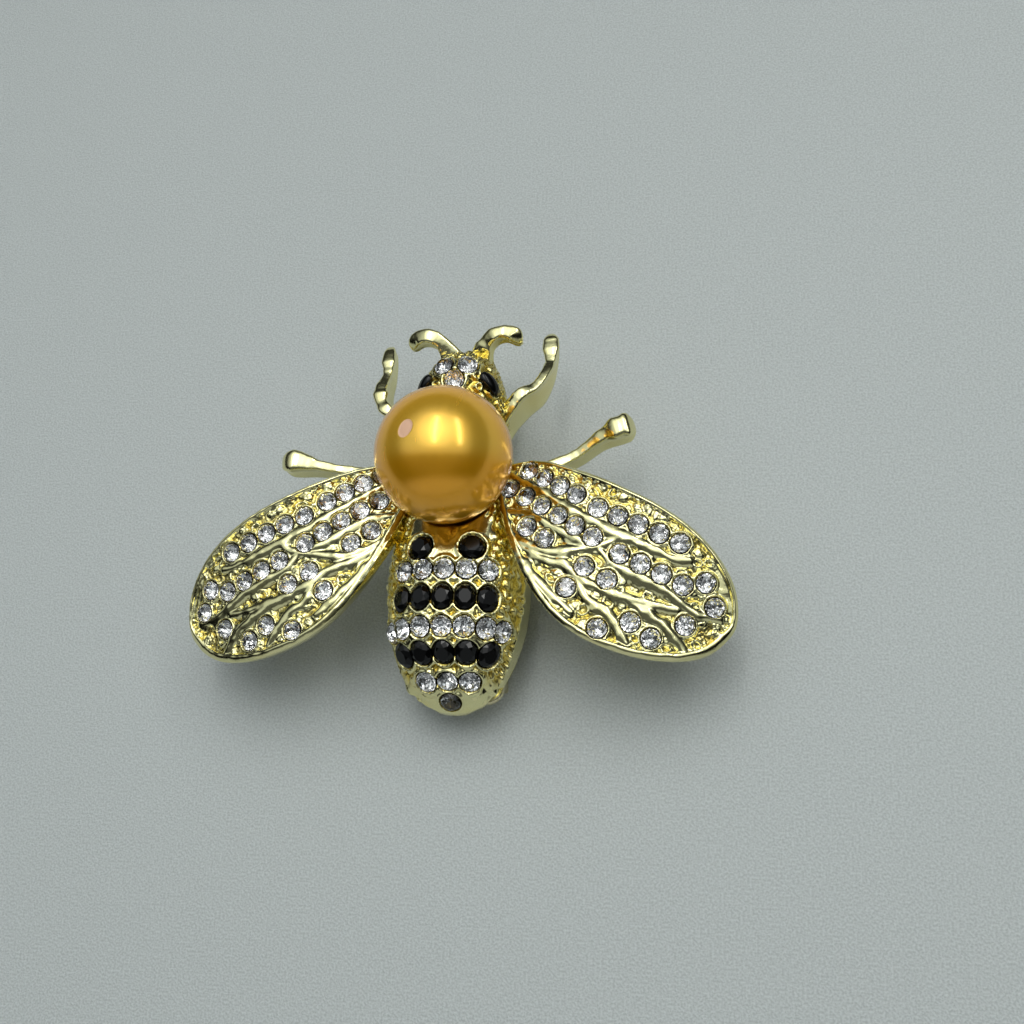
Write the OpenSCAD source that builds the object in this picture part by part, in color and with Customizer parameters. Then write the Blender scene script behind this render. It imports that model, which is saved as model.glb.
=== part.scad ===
// Bee brooch: one metal casting with head, body, wings, legs and antennae,
// a large pearl on a peg, fields of cut stones in drilled seats, two eyes
// and a plain pin back. The pearl's axis is upright, and +Y is the way the bee faces.

/* [Body] */
// Distance from the pearl's axis to the tip of the tail
tail_len = 20.7; // [19.5:0.1:22.5]
// Distance from the pearl's axis to the front of the head
head_len = 12.9; // [12:0.1:14]
// Width across the abdomen
body_w = 13; // [12.4:0.1:14]
// Height of the abdomen's crest above the back of the casting
crest_h = 6.9; // [6.2:0.1:7.6]
// Height of the casting's back above the surface that the brooch lies on
back_h = 3.9; // [3.6:0.1:5]
// Wall of the abdomen round its hollow back
body_wall = 1.5; // [1.3:0.05:1.7]

/* [Pearl] */
// Diameter of the pearl
pearl_d = 12; // [11.2:0.1:12.4]
// Height of the pearl's centre above the casting's back
pearl_up = 9.6; // [9.3:0.1:10.4]
// Diameter of the peg that carries the pearl
peg_d = 1.1; // [0.8:0.1:1.6]
// Height of the peg above the seat
peg_len = 3; // [2:0.1:4]
// Radius of the rim of the dished seat under the pearl
seat_rim_r = 6.4; // [6.2:0.1:6.5]
// Height of that rim above the bottom of the seat
dish_rise = 2.3; // [2:0.1:2.4]
// Distance from the pearl's axis to the point of the notch in the seat's rim
notch_reach = 7.1; // [6.9:0.1:7.4]
// Half of the notch's width at its open end
notch_half = 2.4; // [1.8:0.1:2.6]
// Gap between the pearl and the metal
pearl_gap = 0.05; // [0.03:0.01:0.1]

/* [Wings] */
// Length of a wing from its root in the body to its tip
wing_len = 22.7; // [20:0.1:25]
// Reach of the wing in front of its long axis
wing_front = 5.35; // [5.1:0.05:6]
// Reach of the wing behind its long axis
wing_rear = 7.65; // [7.4:0.05:8.6]
// Angle by which the wing is swept back, in degrees
wing_sweep = 30; // [26:1:34]
// Distance of the wing's root from the middle of the body
wing_root_x = 4.8; // [4.5:0.1:5.2]
// Distance of the wing's root behind the pearl's axis
wing_root_back = 2.5; // [2:0.1:3]
// Height of the wing's root above the casting's back
wing_root_h = 5.5; // [5:0.1:6]
// Height by which the wing arches above a straight line from root to tip
wing_arch = 2.6; // [1.6:0.1:3]
// Height by which the wing's tip lies below its root
wing_droop = 2.3; // [1.5:0.1:2.8]
// Height of the wing's front edge over its long axis near the tip
wing_twist = 0.2; // [0.1:0.05:0.5]
// Thickness of the wing's plate
wing_plate = 1.4; // [1.3:0.05:1.8]
// Width of the raised rim round the wing
rim_w = 0.8; // [0.6:0.05:1]
// Height of the rim and the veins above the wing's plate
rim_h = 0.3; // [0.2:0.05:0.45]
// Width of a vein
vein_w = 0.55; // [0.4:0.05:0.7]

/* [Stones] */
// Diameter of a clear stone in the wings
wing_stone_d = 1.65; // [1.4:0.05:1.7]
// Diameter of a clear stone on the body and the head
body_stone_d = 1.8; // [1.5:0.05:1.9]
// Width of a black stone across the body
black_w = 1.85; // [1.6:0.05:2]
// Length of a black stone along the body
black_l = 2.2; // [1.9:0.05:2.3]
// Diameter of the two round black stones behind the pearl
shoulder_d = 2.2; // [1.8:0.1:2.4]
// Gap between two stones of a wing
stone_gap = 0.1; // [0.1:0.01:0.15]
// Gap between two stones of a row across the abdomen
row_gap = 0.14; // [0.12:0.01:0.2]
// Height of a stone's widest edge above the metal
stone_proud = 0.05; // [0:0.01:0.1]
// Gap between a stone and its seat
seat_gap = 0.04; // [0.03:0.01:0.06]
// Length of an eye
eye_l = 2.4; // [2:0.1:2.6]
// Width of an eye
eye_w = 1.4; // [1.2:0.05:1.5]
// Depth to which an eye is let into the head
eye_foot = 0.4; // [0.3:0.05:0.6]

/* [Legs] */
// Width of the narrowest part of a leg
leg_w = 0.9; // [0.7:0.05:1.1]
// Depth of the ribbon of a leg or an antenna at its thin part
leg_depth = 2; // [1.6:0.1:2.4]
// Reach of the front legs ahead of the pearl's axis
front_reach = 14.9; // [14.2:0.1:16]
// Reach of the middle legs to the side
side_reach = 16.3; // [15:0.1:18]

/* [Pin back] */
// Length of the pin back's bar
bar_len = 24.6; // [22:0.1:25]
// Width of the pin back's bar
bar_w = 4.8; // [4.4:0.1:5.6]
// Thickness of the bar
bar_t = 0.8; // [0.6:0.05:1]
// Diameter of the pin's stem
stem_d = 0.9; // [0.7:0.05:1.1]
// Radius of the bar's corners
bar_corner = 1.6; // [1:0.1:2]
// Distance of the bar's middle behind the pearl's axis
bar_back = 7.4; // [7:0.1:8]
// Width of the hinge block and of the catch block
block_w = 4; // [3.6:0.1:4.4]
// Distance of each block's middle from the bar's middle
block_at = 8.8; // [8:0.1:10]
// Height of the stem's middle above the surface
stem_h = 1.2; // [0.8:0.1:1.6]
// Length of the hinge block and of the catch block
block_len = 3.6; // [3:0.1:4.2]
// Angle between the bar and the body, in degrees
bar_turn = 5; // [0:1:6]
// Offset of the bar's middle to the bee's right side
bar_offset = 0.9; // [0:0.1:1.2]
// Gap between the bar and the casting
bar_gap = 0.05; // [0.03:0.01:0.1]

/* [Hidden] */
gold = [0.84, 0.76, 0.42];
pearl_tint = [0.86, 0.66, 0.40];
crystal = [0.92, 0.94, 0.95];
jet = [0.06, 0.06, 0.07];
// The origin is below the middle of the brooch's length
pearl_y = (tail_len - front_reach) / 2;
pearl_z = back_h + pearl_up;
// Roundness of the body's sections, and the points on one
body_power = 2.5;
ring_n = 18;
dish_n = 24;
// Proportions of a cut stone, as shares of its width
crown_share = 0.2;
table_share = 0.58;
pavilion_share = 0.42;
facets = 8;
eye_dome = 0.45;
// The body's sections between which it is hollow, as in its table
hollow_from = -0.87;
hollow_to = -0.30;
// The wing's plate is thicker at its root by this share
root_swell = 0.8;
// Ends of the lofted forms are domed by this share of their last stretch
end_dome = 0.1;

// Sections of the body. Columns: place as a share of the tail's length (below 0)
// or of the head's length (above 0), half width as a share of half the body's
// width, height as a share of the crest's height, width of the foot as a share of
// the section's width.
BODY = [
    [-1.00, 0.06, 0.10, 1.00], [-0.99, 0.19, 0.16, 1.00], [-0.955, 0.39, 0.27, 1.00],
    [-0.90, 0.61, 0.45, 1.00], [-0.815, 0.77, 0.69, 1.00], [-0.73, 0.87, 0.90, 1.00],
    [-0.64, 0.94, 0.98, 1.00], [-0.51, 0.98, 1.00, 1.00], [-0.39, 0.98, 1.00, 1.00],
    [-0.31, 0.96, 0.97, 1.00], [-0.20, 0.95, 0.90, 0.95], [0.00, 0.90, 0.87, 0.86],
    [0.15, 0.84, 0.87, 0.72], [0.28, 0.80, 0.89, 0.66], [0.41, 0.78, 1.02, 0.66],
    [0.53, 0.74, 1.15, 0.70], [0.65, 0.68, 1.20, 0.72], [0.745, 0.60, 1.16, 0.74],
    [0.84, 0.50, 1.02, 0.76], [0.915, 0.38, 0.84, 0.80], [0.97, 0.25, 0.64, 0.80],
    [1.00, 0.10, 0.45, 0.80]];

// Outline of a wing. Columns: share along its length, front edge as a share of the
// reach in front of the long axis, rear edge as a share of the reach behind it.
WING = [
    [-0.06, 0.58, 0.02], [0.00, 0.73, -0.15], [0.07, 0.83, -0.33], [0.17, 0.89, -0.56],
    [0.29, 0.94, -0.79], [0.42, 0.98, -0.95], [0.55, 1.00, -1.00], [0.68, 0.96, -0.945],
    [0.79, 0.845, -0.835], [0.88, 0.665, -0.68], [0.94, 0.46, -0.52], [0.98, 0.22, -0.335],
    [0.998, 0.03, -0.15]];

// Rows of stones in a wing. Columns: share along and share across of the first
// stone, then of the last one.
WING_ROWS = [
    [0.022, 0.56, 0.257, 0.52], [0.361, 0.48, 0.690, 0.64], [-0.005, 0.16, 0.403, 0.03],
    [0.154, -0.22, 0.243, -0.25], [0.524, 0.00, 0.773, 0.095], [0.837, 0.32, 0.905, 0.075],
    [0.436, -0.315, 0.533, -0.315], [0.418, -0.615, 0.418, -0.615],
    [0.595, -0.83, 0.595, -0.83], [0.683, -0.585, 0.773, -0.615], [0.850, -0.29, 0.850, -0.29]];

// Veins of a wing, each a list of points. Columns: share along, share across.
VEINS = [
    [[-0.04, 0.39], [0.10, 0.34], [0.20, 0.28], [0.32, 0.25], [0.46, 0.25], [0.60, 0.32],
     [0.70, 0.38], [0.75, 0.48]],
    [[0.05, -0.14], [0.14, -0.07], [0.24, -0.08], [0.36, -0.09], [0.44, -0.03], [0.49, 0.22]],
    [[0.44, -0.05], [0.52, -0.13], [0.62, -0.11], [0.74, -0.09], [0.86, -0.12], [0.94, -0.02]],
    [[0.09, -0.37], [0.20, -0.40], [0.30, -0.34], [0.37, -0.20], [0.44, -0.05]],
    [[0.11, -0.43], [0.27, -0.46], [0.38, -0.41], [0.47, -0.45], [0.59, -0.41], [0.72, -0.30],
     [0.80, -0.20]],
    [[0.42, -0.44], [0.50, -0.60], [0.60, -0.64], [0.71, -0.80]],
    [[0.62, -0.40], [0.72, -0.40], [0.80, -0.43], [0.89, -0.54]],
    [[0.12, -0.46], [0.22, -0.60], [0.34, -0.73], [0.48, -0.82]]];

// Rows of stones on the abdomen. Columns: place as a share of the tail's length,
// most stones in the row, 1 for a clear row and 0 for a black one.
ABDOMEN_ROWS = [[-0.455, 5, 1], [-0.575, 5, 0], [-0.695, 7, 1], [-0.79, 5, 0],
                [-0.89, 3, 1], [-0.96, 1, 1]];
// Round black stones behind the pearl. Columns: share of the tail's length, share of
// half the body's width.
SHOULDER_STONES = [[-0.356, 0.355], [-0.356, -0.355]];
// Clear stones of the head. Columns: share of the head's length, share of half the
// body's width.
HEAD_STONES = [[0.73, 0.17], [0.73, -0.17], [0.612, 0]];
// Eyes. Columns: share of the head's length, share of half the body's width, turn in
// degrees.
EYES = [[0.61, 0.45, 50], [0.61, -0.45, -50]];

// Legs and antennae. Columns: share of the side reach, share of the front reach,
// height of the top above the casting's back as a share of the crest's height,
// width as a share of the leg's width, depth as a share of the ribbon's depth.
RIBBONS = [
    [[0.16, 0.29, 0.58, 1.4, 1.5], [0.32, 0.49, 0.80, 1.2, 2.2], [0.41, 0.57, 0.74, 1.0, 1.9],
     [0.46, 0.68, 0.66, 0.9, 1.5], [0.475, 0.78, 0.57, 1.1, 1.1], [0.47, 0.90, 0.53, 1.5, 1.0],
     [0.465, 1.00, 0.48, 0.9, 0.7]],
    [[-0.16, 0.29, 0.58, 1.4, 1.5], [-0.40, 0.42, 0.76, 1.1, 2.1], [-0.47, 0.50, 0.76, 1.3, 1.8],
     [-0.49, 0.61, 0.72, 1.4, 1.5], [-0.475, 0.74, 0.60, 0.9, 1.2], [-0.485, 0.86, 0.56, 1.4, 1.0],
     [-0.49, 0.97, 0.47, 0.9, 0.7]],
    [[0.18, 0.00, 0.53, 1.3, 1.3], [0.36, 0.04, 0.52, 1.2, 1.3], [0.50, 0.10, 0.45, 1.1, 1.2],
     [0.64, 0.17, 0.45, 1.0, 1.2], [0.77, 0.25, 0.58, 1.2, 1.3], [0.89, 0.305, 0.70, 1.9, 1.5],
     [0.965, 0.31, 0.65, 1.6, 1.2]],
    [[-0.18, 0.00, 0.53, 1.3, 1.3], [-0.36, 0.04, 0.52, 1.2, 1.3], [-0.54, 0.09, 0.45, 1.1, 1.2],
     [-0.70, 0.115, 0.46, 1.0, 1.2], [-0.85, 0.135, 0.57, 1.2, 1.3], [-0.98, 0.155, 0.67, 1.9, 1.5],
     [-1.07, 0.15, 0.62, 1.5, 1.1]],
    [[0.065, 0.75, 0.66, 1.6, 1.3], [0.10, 0.83, 0.80, 1.4, 1.2], [0.15, 0.885, 0.90, 1.3, 1.0],
     [0.22, 0.91, 0.94, 1.4, 0.9], [0.285, 0.90, 0.89, 1.5, 0.8], [0.32, 0.86, 0.80, 1.1, 0.7]],
    [[-0.065, 0.75, 0.66, 1.6, 1.3], [-0.10, 0.83, 0.80, 1.4, 1.2], [-0.15, 0.885, 0.90, 1.3, 1.0],
     [-0.22, 0.91, 0.94, 1.4, 0.9], [-0.285, 0.90, 0.89, 1.5, 0.8], [-0.32, 0.86, 0.80, 1.1, 0.7]]];

// Curve through points, given by a number of stretches along it
function on_curve(p, closed, k) =
    let (n = len(p), i = floor(k), f = k - i,
         a = closed ? p[(i + n - 1) % n] : p[max(i - 1, 0)],
         b = closed ? p[i % n] : p[min(i, n - 1)],
         c = closed ? p[(i + 1) % n] : p[min(i + 1, n - 1)],
         d = closed ? p[(i + 2) % n] : p[min(i + 2, n - 1)])
    b + f / 2 * (c - a + f * (2 * a - 5 * b + 4 * c - d + f * (3 * b - a - 3 * c + d)));
function curve(p, closed, step) =
    [for (k = [0:step:len(p) - (closed ? step : 1)]) on_curve(p, closed, k)];

function middle(ring) = [for (q = ring) 1] * ring / len(ring);

// Closed loft of rings that have equally many points, with slightly domed ends
function end_point(last, next) = middle(last) + (middle(last) - middle(next)) * end_dome;
module skin(rings) {
    n = len(rings[0]);
    m = len(rings);
    points = concat([for (r = rings) each r],
                    [end_point(rings[0], rings[1]), end_point(rings[m - 1], rings[m - 2])]);
    sides = [for (i = [0:m - 2], j = [0:n - 1])
        let (a = i * n + j, b = i * n + (j + 1) % n)
        each [[a, b, b + n], [a, b + n, a + n]]];
    caps = [for (j = [0:n - 1])
        let (k = (j + 1) % n)
        each [[n * m, k, j], [n * m + 1, (m - 1) * n + j, (m - 1) * n + k]]];
    polyhedron(points, concat(sides, caps));
}

// The body: its half width and height at a distance ahead of the pearl's axis
function body_y(share) = share * (share < 0 ? tail_len : head_len);
function half_w(y) = lookup(y, [for (s = BODY) [body_y(s[0]), s[1] * body_w / 2]]);
function high(y) = lookup(y, [for (s = BODY) [body_y(s[0]), s[2] * crest_h]]);
function body_top(x, y) =
    high(y) * pow(max(1 - pow(abs(x) / half_w(y), body_power), 0.001), 1 / body_power);

// A section narrows below two thirds of its height, down to its foot
function body_ring(section, wall, lid) =
    let (y = body_y(section[0]), w = half_w(y) - wall, h = high(y) - lid, foot = section[3])
    [for (i = [0:ring_n])
        let (a = 180 * i / ring_n, c = cos(a), k = foot + (1 - foot) * min(1, 1.5 * sin(a)))
        [w * k * sign(c) * pow(abs(c), 2 / body_power), y,
         back_h + h * pow(sin(a), 2 / body_power)]];

module body_form() {
    skin([for (s = BODY) body_ring(s, 0, 0)]);
}

// Hollow of the abdomen, open at the back. Its roof is deeper than the seats are.
module hollow() {
    lid = body_wall + pavilion_share * black_w;
    rings = [for (s = BODY) if (s[0] > hollow_from && s[0] < hollow_to)
        body_ring(s, body_wall, lid)];
    skin([for (r = rings)
        [for (p = r) p[2] < back_h + bar_gap ? [p[0], p[1], back_h - body_wall] : p]]);
}

// Dished seat of the pearl, with a straight wall above its rim and a pointed notch
// towards the tail
module dish() {
    r = (pow(seat_rim_r, 2) + pow(dish_rise, 2)) / (2 * dish_rise);
    bottom = pearl_z - pearl_d / 2 - pearl_gap;
    arc = [for (q = [0.04, 0.25, 0.5, 0.75, 1] * seat_rim_r) [q, bottom + r - sqrt(r * r - q * q)]];
    steps = concat(arc, [[seat_rim_r, pearl_z + pearl_d]]);
    skin([for (k = [0:len(steps) - 1])
        [for (i = [0:dish_n - 1])
            let (a = 360 * (k / 2 - i) / dish_n)
            [steps[k][0] * cos(a), steps[k][0] * sin(a), steps[k][1]]]]);
    half = notch_half;
    open_end = half * 0.4 - seat_rim_r;
    low = bottom + dish_rise * 0.8;
    top = bottom + dish_rise * 2;
    hull() {
        translate([0, 0, low]) linear_extrude(height = pearl_gap)
            polygon([[-half / 2, open_end], [half / 2, open_end], [0, -seat_rim_r]]);
        translate([0, 0, top]) linear_extrude(height = pearl_gap)
            polygon([[-half, open_end], [half, open_end],
                     [0, -notch_reach - (notch_reach - seat_rim_r) * 0.5]]);
    }
}

// Room round the pearl, which trims the roots of the wings
module pearl_room() {
    r = (pearl_d / 2 + pearl_gap) / pow(cos(180 / dish_n), 2);
    translate([0, 0, pearl_z]) sphere(r = r, $fn = dish_n);
}

// A wing: shares to places, and the height of its arched and slightly twisted top
function wing_xy(s, t) =
    let (a = s * wing_len, b = t * (t < 0 ? wing_rear : wing_front))
    [wing_root_x + a * cos(wing_sweep) + b * sin(wing_sweep),
     -wing_root_back - a * sin(wing_sweep) + b * cos(wing_sweep)];
function wing_h(s, across) =
    back_h + wing_root_h + 4 * wing_arch * s * (1 - s) - wing_droop * s
    + wing_twist * s * across / wing_front;
function wing_z(x, y) =
    let (u = x - wing_root_x, v = y + wing_root_back)
    wing_h((u * cos(wing_sweep) - v * sin(wing_sweep)) / wing_len,
           u * sin(wing_sweep) + v * cos(wing_sweep));

function wing_point(s, across, lift) =
    [wing_root_x + s * wing_len * cos(wing_sweep) + across * sin(wing_sweep),
     -wing_root_back - s * wing_len * sin(wing_sweep) + across * cos(wing_sweep),
     wing_h(s, across) + lift];

// A wing's plate is a loft of sections across it. Its rim keeps its width where the
// outline turns, so the distance across is longer there.
module wing_form() {
    edge = [for (q = curve(WING, false, 0.5)) [q[0], q[1] * wing_front, q[2] * wing_rear]];
    n = len(edge) - 1;
    skin([for (i = [0:n])
        let (s = edge[i][0], front = edge[i][1], rear = edge[i][2],
             d = edge[min(i + 1, n)] - edge[max(i - 1, 0)],
             half = (front - rear) / 2 * 0.9,
             f = min(half, rim_w * norm([1, d[1] / d[0] / wing_len])),
             r = min(half, rim_w * norm([1, d[2] / d[0] / wing_len])),
             under = -wing_plate * (1 + root_swell * pow(max(1 - s, 0), 3)),
             foot = half == min(f, r) ? rim_h * 0.6 : 0)
        [wing_point(s, rear, under), wing_point(s, rear, rim_h / 3),
         wing_point(s, rear + r / 2, rim_h), wing_point(s, rear + r, foot),
         wing_point(s, front - f, foot), wing_point(s, front - f / 2, rim_h),
         wing_point(s, front, rim_h / 3), wing_point(s, front, under)]]);
}

// A vein: a low round ridge along its points, thinner at both ends
module vein(shares) {
    path = [for (q = curve(shares, false, 1))
        let (p = wing_xy(q[0], q[1])) [p[0], p[1], wing_z(p[0], p[1])]];
    n = len(path) - 1;
    skin([for (i = [0:n])
        let (d = path[min(i + 1, n)] - path[max(i - 1, 0)],
             side = [-d[1], d[0], 0] / norm([d[0], d[1]]),
             w = vein_w / 2 * (i == 0 || i == n ? 0.6 : 1))
        [for (q = [[-1.1, -1], [-0.8, 0.4], [0, 1], [0.8, 0.4], [1.1, -1]])
            path[i] + side * q[0] * w + [0, 0, q[1] * rim_h]]]);
}

// A leg or an antenna: a ribbon on edge with a rounded top
module ribbon(stations) {
    path = [for (q = curve(stations, false, 0.5))
        [q[0] * side_reach, q[1] * front_reach, back_h + q[2] * crest_h,
         q[3] * leg_w / 2, q[4] * leg_depth]];
    n = len(path) - 1;
    skin([for (i = [0:n])
        let (p = path[i], d = path[min(i + 1, n)] - path[max(i - 1, 0)],
             side = [-d[1], d[0], 0] / norm([d[0], d[1]]))
        [for (q = [[-0.7, 1, 0], [-1, 0.3, 0], [-0.7, 0, 0.4], [0, 0, 0], [0.7, 0, 0.4],
                   [1, 0.3, 0], [0.7, 1, 0]])
            [p[0], p[1], p[2]] + side * q[0] * p[3] - [0, 0, q[1] * p[4] + q[2] * p[3]]]]);
}

// Places of the stones: a point and the outward direction of the metal there
function place(x, y, z) =
    let (e = 0.05, dx = (z(x + e, y) - z(x - e, y)) / (2 * e),
         dy = (z(x, y + e) - z(x, y - e)) / (2 * e))
    [[x, y, z(x, y)], [-dx, -dy, 1] / norm([dx, dy, 1])];
function wing_place(p) = place(p[0], p[1], function(x, y) wing_z(x, y));
function body_place(x, y) = place(x, y, function(x, y) back_h + body_top(x, y));

wing_places = [for (r = WING_ROWS)
    let (a = wing_xy(r[0], r[1]), b = wing_xy(r[2], r[3]),
         n = floor(norm(b - a) / (wing_stone_d + stone_gap)))
    for (i = [0:n]) wing_place(n == 0 ? (a + b) / 2 : a + (b - a) * i / n)];

// Distance from the middle to the k-th stone of a row that follows the curved body
function across(y, pitch, k) =
    k <= 0 ? 0 :
    let (near = across(y, pitch, k - 1), step = min(k, 1) * pitch,
         n = body_place(near + step / 2, y)[1])
    near + step * n[2] / norm([n[0], n[2]]);
function row_places(row) =
    let (y = body_y(row[0]), width = row[2] == 1 ? body_stone_d : black_w)
    [for (i = [0:row[1] - 1])
        let (k = i - (row[1] - 1) / 2, x = sign(k) * across(y, width + row_gap, abs(k)))
        if (abs(x) + width / 3 < half_w(y)) body_place(x, y)];

clear_places = [for (r = ABDOMEN_ROWS) if (r[2] == 1) each row_places(r)];
black_places = [for (r = ABDOMEN_ROWS) if (r[2] == 0) each row_places(r)];
shoulder_places = [for (q = SHOULDER_STONES) body_place(q[1] * body_w / 2, body_y(q[0]))];
head_places = [for (q = HEAD_STONES) body_place(q[1] * body_w / 2, body_y(q[0]))];

module stand(place) {
    n = place[1];
    turn = atan2(n[1], n[0]);
    translate(place[0]) rotate([0, acos(n[2]), turn]) rotate([0, 0, -turn]) children();
}

// A cut stone: flat table, one ring of crown facets and one of pavilion facets
module cut_stone(width, length) {
    turn = [for (i = [0:facets - 1]) 360 * (i + 0.5) / facets];
    table = [for (a = turn) [table_share * width / 2 * cos(a), table_share * length / 2 * sin(a),
                             stone_proud + crown_share * width]];
    girdle = [for (a = turn) [width / 2 * cos(a), length / 2 * sin(a), stone_proud]];
    culet = [[0, 0, stone_proud - pavilion_share * width]];
    f = facets;
    polyhedron(concat(table, girdle, culet), concat(
        [[for (i = [0:f - 1]) f - 1 - i]],
        [for (i = [0:f - 1]) let (j = (i + 1) % f) each [[i, j, f + j], [i, f + j, f + i]]],
        [for (i = [0:f - 1]) [f + i, f + (i + 1) % f, 2 * f]]));
}

// The seat drilled for a cut stone
module seat(width, length) {
    r = width / 2 + seat_gap;
    scale([1, (length + 2 * seat_gap) / (2 * r), 1]) rotate([0, 0, 180 / facets]) hull()
        rotate_extrude($fn = facets)
            polygon([[0, stone_proud - pavilion_share * width - 2 * seat_gap], [r, stone_proud],
                     [r, stone_proud + crown_share * width], [0, stone_proud + crown_share * width]]);
}

// A black glass eye: a low oval dome on a flat foot
module eye(clear) {
    rings = [for (q = [[0.92, -eye_foot - clear], [1, 0], [0.86, 0.5], [0.5, 0.87], [0.1, 1]])
        [for (a = [0:30:330])
            [q[0] * (eye_w / 2 + clear) * cos(a), q[0] * (eye_l / 2 + clear) * sin(a),
             q[1] * (q[1] > 0 ? eye_w * eye_dome : 1)]]];
    hull() skin(rings);
}

module at_eyes() {
    for (e = EYES) stand(body_place(e[1] * body_w / 2, body_y(e[0]))) rotate([0, 0, e[2]])
        children();
}

// Turns the flats of the stones along the rows of the wings
module at_wing_stones() {
    for (p = wing_places) stand(p) rotate([0, 0, -wing_sweep]) children();
}

// Everything on the body is placed from the pearl's axis
module at_pearl() {
    translate([0, pearl_y, 0]) children();
}

module seats() {
    for (side = [0, 1]) mirror([side, 0, 0]) at_wing_stones() seat(wing_stone_d, wing_stone_d);
    for (p = concat(clear_places, head_places)) stand(p) seat(body_stone_d, body_stone_d);
    for (p = black_places) stand(p) seat(black_w, black_l);
    for (p = shoulder_places) stand(p) seat(shoulder_d, shoulder_d);
    at_eyes() eye(seat_gap);
}

module casting() {
    color(gold) at_pearl() {
        difference() {
            union() {
                difference() {
                    body_form();
                    dish();
                    hollow();
                }
                for (side = [0, 1]) mirror([side, 0, 0]) difference() {
                    union() {
                        wing_form();
                        for (v = VEINS) vein(v);
                    }
                    pearl_room();
                }
                for (stations = RIBBONS) ribbon(stations);
            }
            seats();
        }
        translate([0, 0, back_h + body_wall]) cylinder(
            d = peg_d, h = pearl_z - pearl_d / 2 + peg_len - back_h - body_wall, $fn = 16);
    }
}

module pearl() {
    color(pearl_tint) at_pearl() translate([0, 0, pearl_z]) difference() {
        sphere(d = pearl_d, $fn = 64);
        translate([0, 0, -pearl_d]) cylinder(
            d = peg_d + 2 * pearl_gap, h = pearl_d / 2 + peg_len + 2 * pearl_gap, $fn = 32);
    }
}

module left_wing_stones() {
    color(crystal) at_pearl() mirror([1, 0, 0]) at_wing_stones()
        cut_stone(wing_stone_d, wing_stone_d);
}

module right_wing_stones() {
    color(crystal) at_pearl() at_wing_stones() cut_stone(wing_stone_d, wing_stone_d);
}

module abdomen_clear_stones() {
    color(crystal) at_pearl() for (p = clear_places) stand(p) cut_stone(body_stone_d, body_stone_d);
}

module abdomen_black_stones() {
    color(jet) at_pearl() {
        for (p = black_places) stand(p) cut_stone(black_w, black_l);
        for (p = shoulder_places) stand(p) cut_stone(shoulder_d, shoulder_d);
    }
}

module head_stones() {
    color(crystal) at_pearl() for (p = head_places) stand(p) cut_stone(body_stone_d, body_stone_d);
}

module eyes() {
    color(jet) at_pearl() at_eyes() eye(0);
}

// Pin back: a bar with round corners under the casting, a hinge block and a catch
// block that stand on the surface, and the pin's stem between them.
module pin_back() {
    top = back_h - bar_gap;
    inner = bar_len / 2 - bar_corner;
    color(gold) at_pearl() translate([bar_offset, -bar_back, 0]) rotate([0, 0, bar_turn]) {
        hull() for (x = [-1, 1], y = [-1, 1])
            translate([x * (bar_w / 2 - bar_corner), y * inner, top - bar_t])
                cylinder(r = bar_corner, h = bar_t, $fn = 24);
        for (y = [-1, 1]) translate([-block_w / 2, y * block_at - block_len / 2, 0])
            cube([block_w, block_len, top - bar_t / 2]);
        translate([0, -block_at, stem_h]) rotate([-90, 0, 0])
            cylinder(d = stem_d, h = 2 * block_at, $fn = 24);
    }
}

casting();
pearl();
left_wing_stones();
right_wing_stones();
abdomen_clear_stones();
abdomen_black_stones();
head_stones();
eyes();
pin_back();
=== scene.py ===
import bmesh
import bpy
import numpy as np
from mathutils import Matrix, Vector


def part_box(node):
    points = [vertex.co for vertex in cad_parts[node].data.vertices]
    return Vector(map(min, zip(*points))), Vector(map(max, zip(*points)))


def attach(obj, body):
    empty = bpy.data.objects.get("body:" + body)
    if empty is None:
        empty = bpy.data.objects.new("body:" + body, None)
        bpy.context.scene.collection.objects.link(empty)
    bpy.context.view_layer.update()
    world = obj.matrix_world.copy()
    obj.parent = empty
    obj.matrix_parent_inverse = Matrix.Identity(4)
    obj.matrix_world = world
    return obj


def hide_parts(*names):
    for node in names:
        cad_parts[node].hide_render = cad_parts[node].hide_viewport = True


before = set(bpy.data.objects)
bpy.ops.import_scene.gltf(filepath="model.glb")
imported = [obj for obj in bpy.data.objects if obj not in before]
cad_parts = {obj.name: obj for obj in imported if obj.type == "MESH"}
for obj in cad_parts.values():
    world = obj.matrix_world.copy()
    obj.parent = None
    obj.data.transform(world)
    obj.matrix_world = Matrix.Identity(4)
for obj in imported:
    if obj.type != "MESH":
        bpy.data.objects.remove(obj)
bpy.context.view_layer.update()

# Stone places
# Every crystal and black stone is a pressed glass chaton with a foil back. The packed
# model already holds each one as a small solid in its seat, so its place, its tilt
# and its size are read from there and shared by the settings and the finer cut.
MM = 0.001
CAD_FACETS = 8
CAD_STONE_TRIANGLES = 30
PARALLEL = 0.9999


def unit(v):
    """Vectors scaled to a length of one, along the last axis."""
    return v / np.linalg.norm(v, axis=-1, keepdims=True)


def node_triangles(node):
    """Corners of a CAD node's triangles in millimetres, as an array of triangle, corner and axis."""
    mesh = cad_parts[node].data
    mesh.calc_loop_triangles()
    corners = np.empty(len(mesh.vertices) * 3, np.float32)
    mesh.vertices.foreach_get("co", corners)
    index = np.empty(len(mesh.loop_triangles) * 3, np.int32)
    mesh.loop_triangles.foreach_get("vertices", index)
    return corners.reshape(-1, 3)[index].reshape(-1, 3, 3).astype(float) / MM


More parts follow.
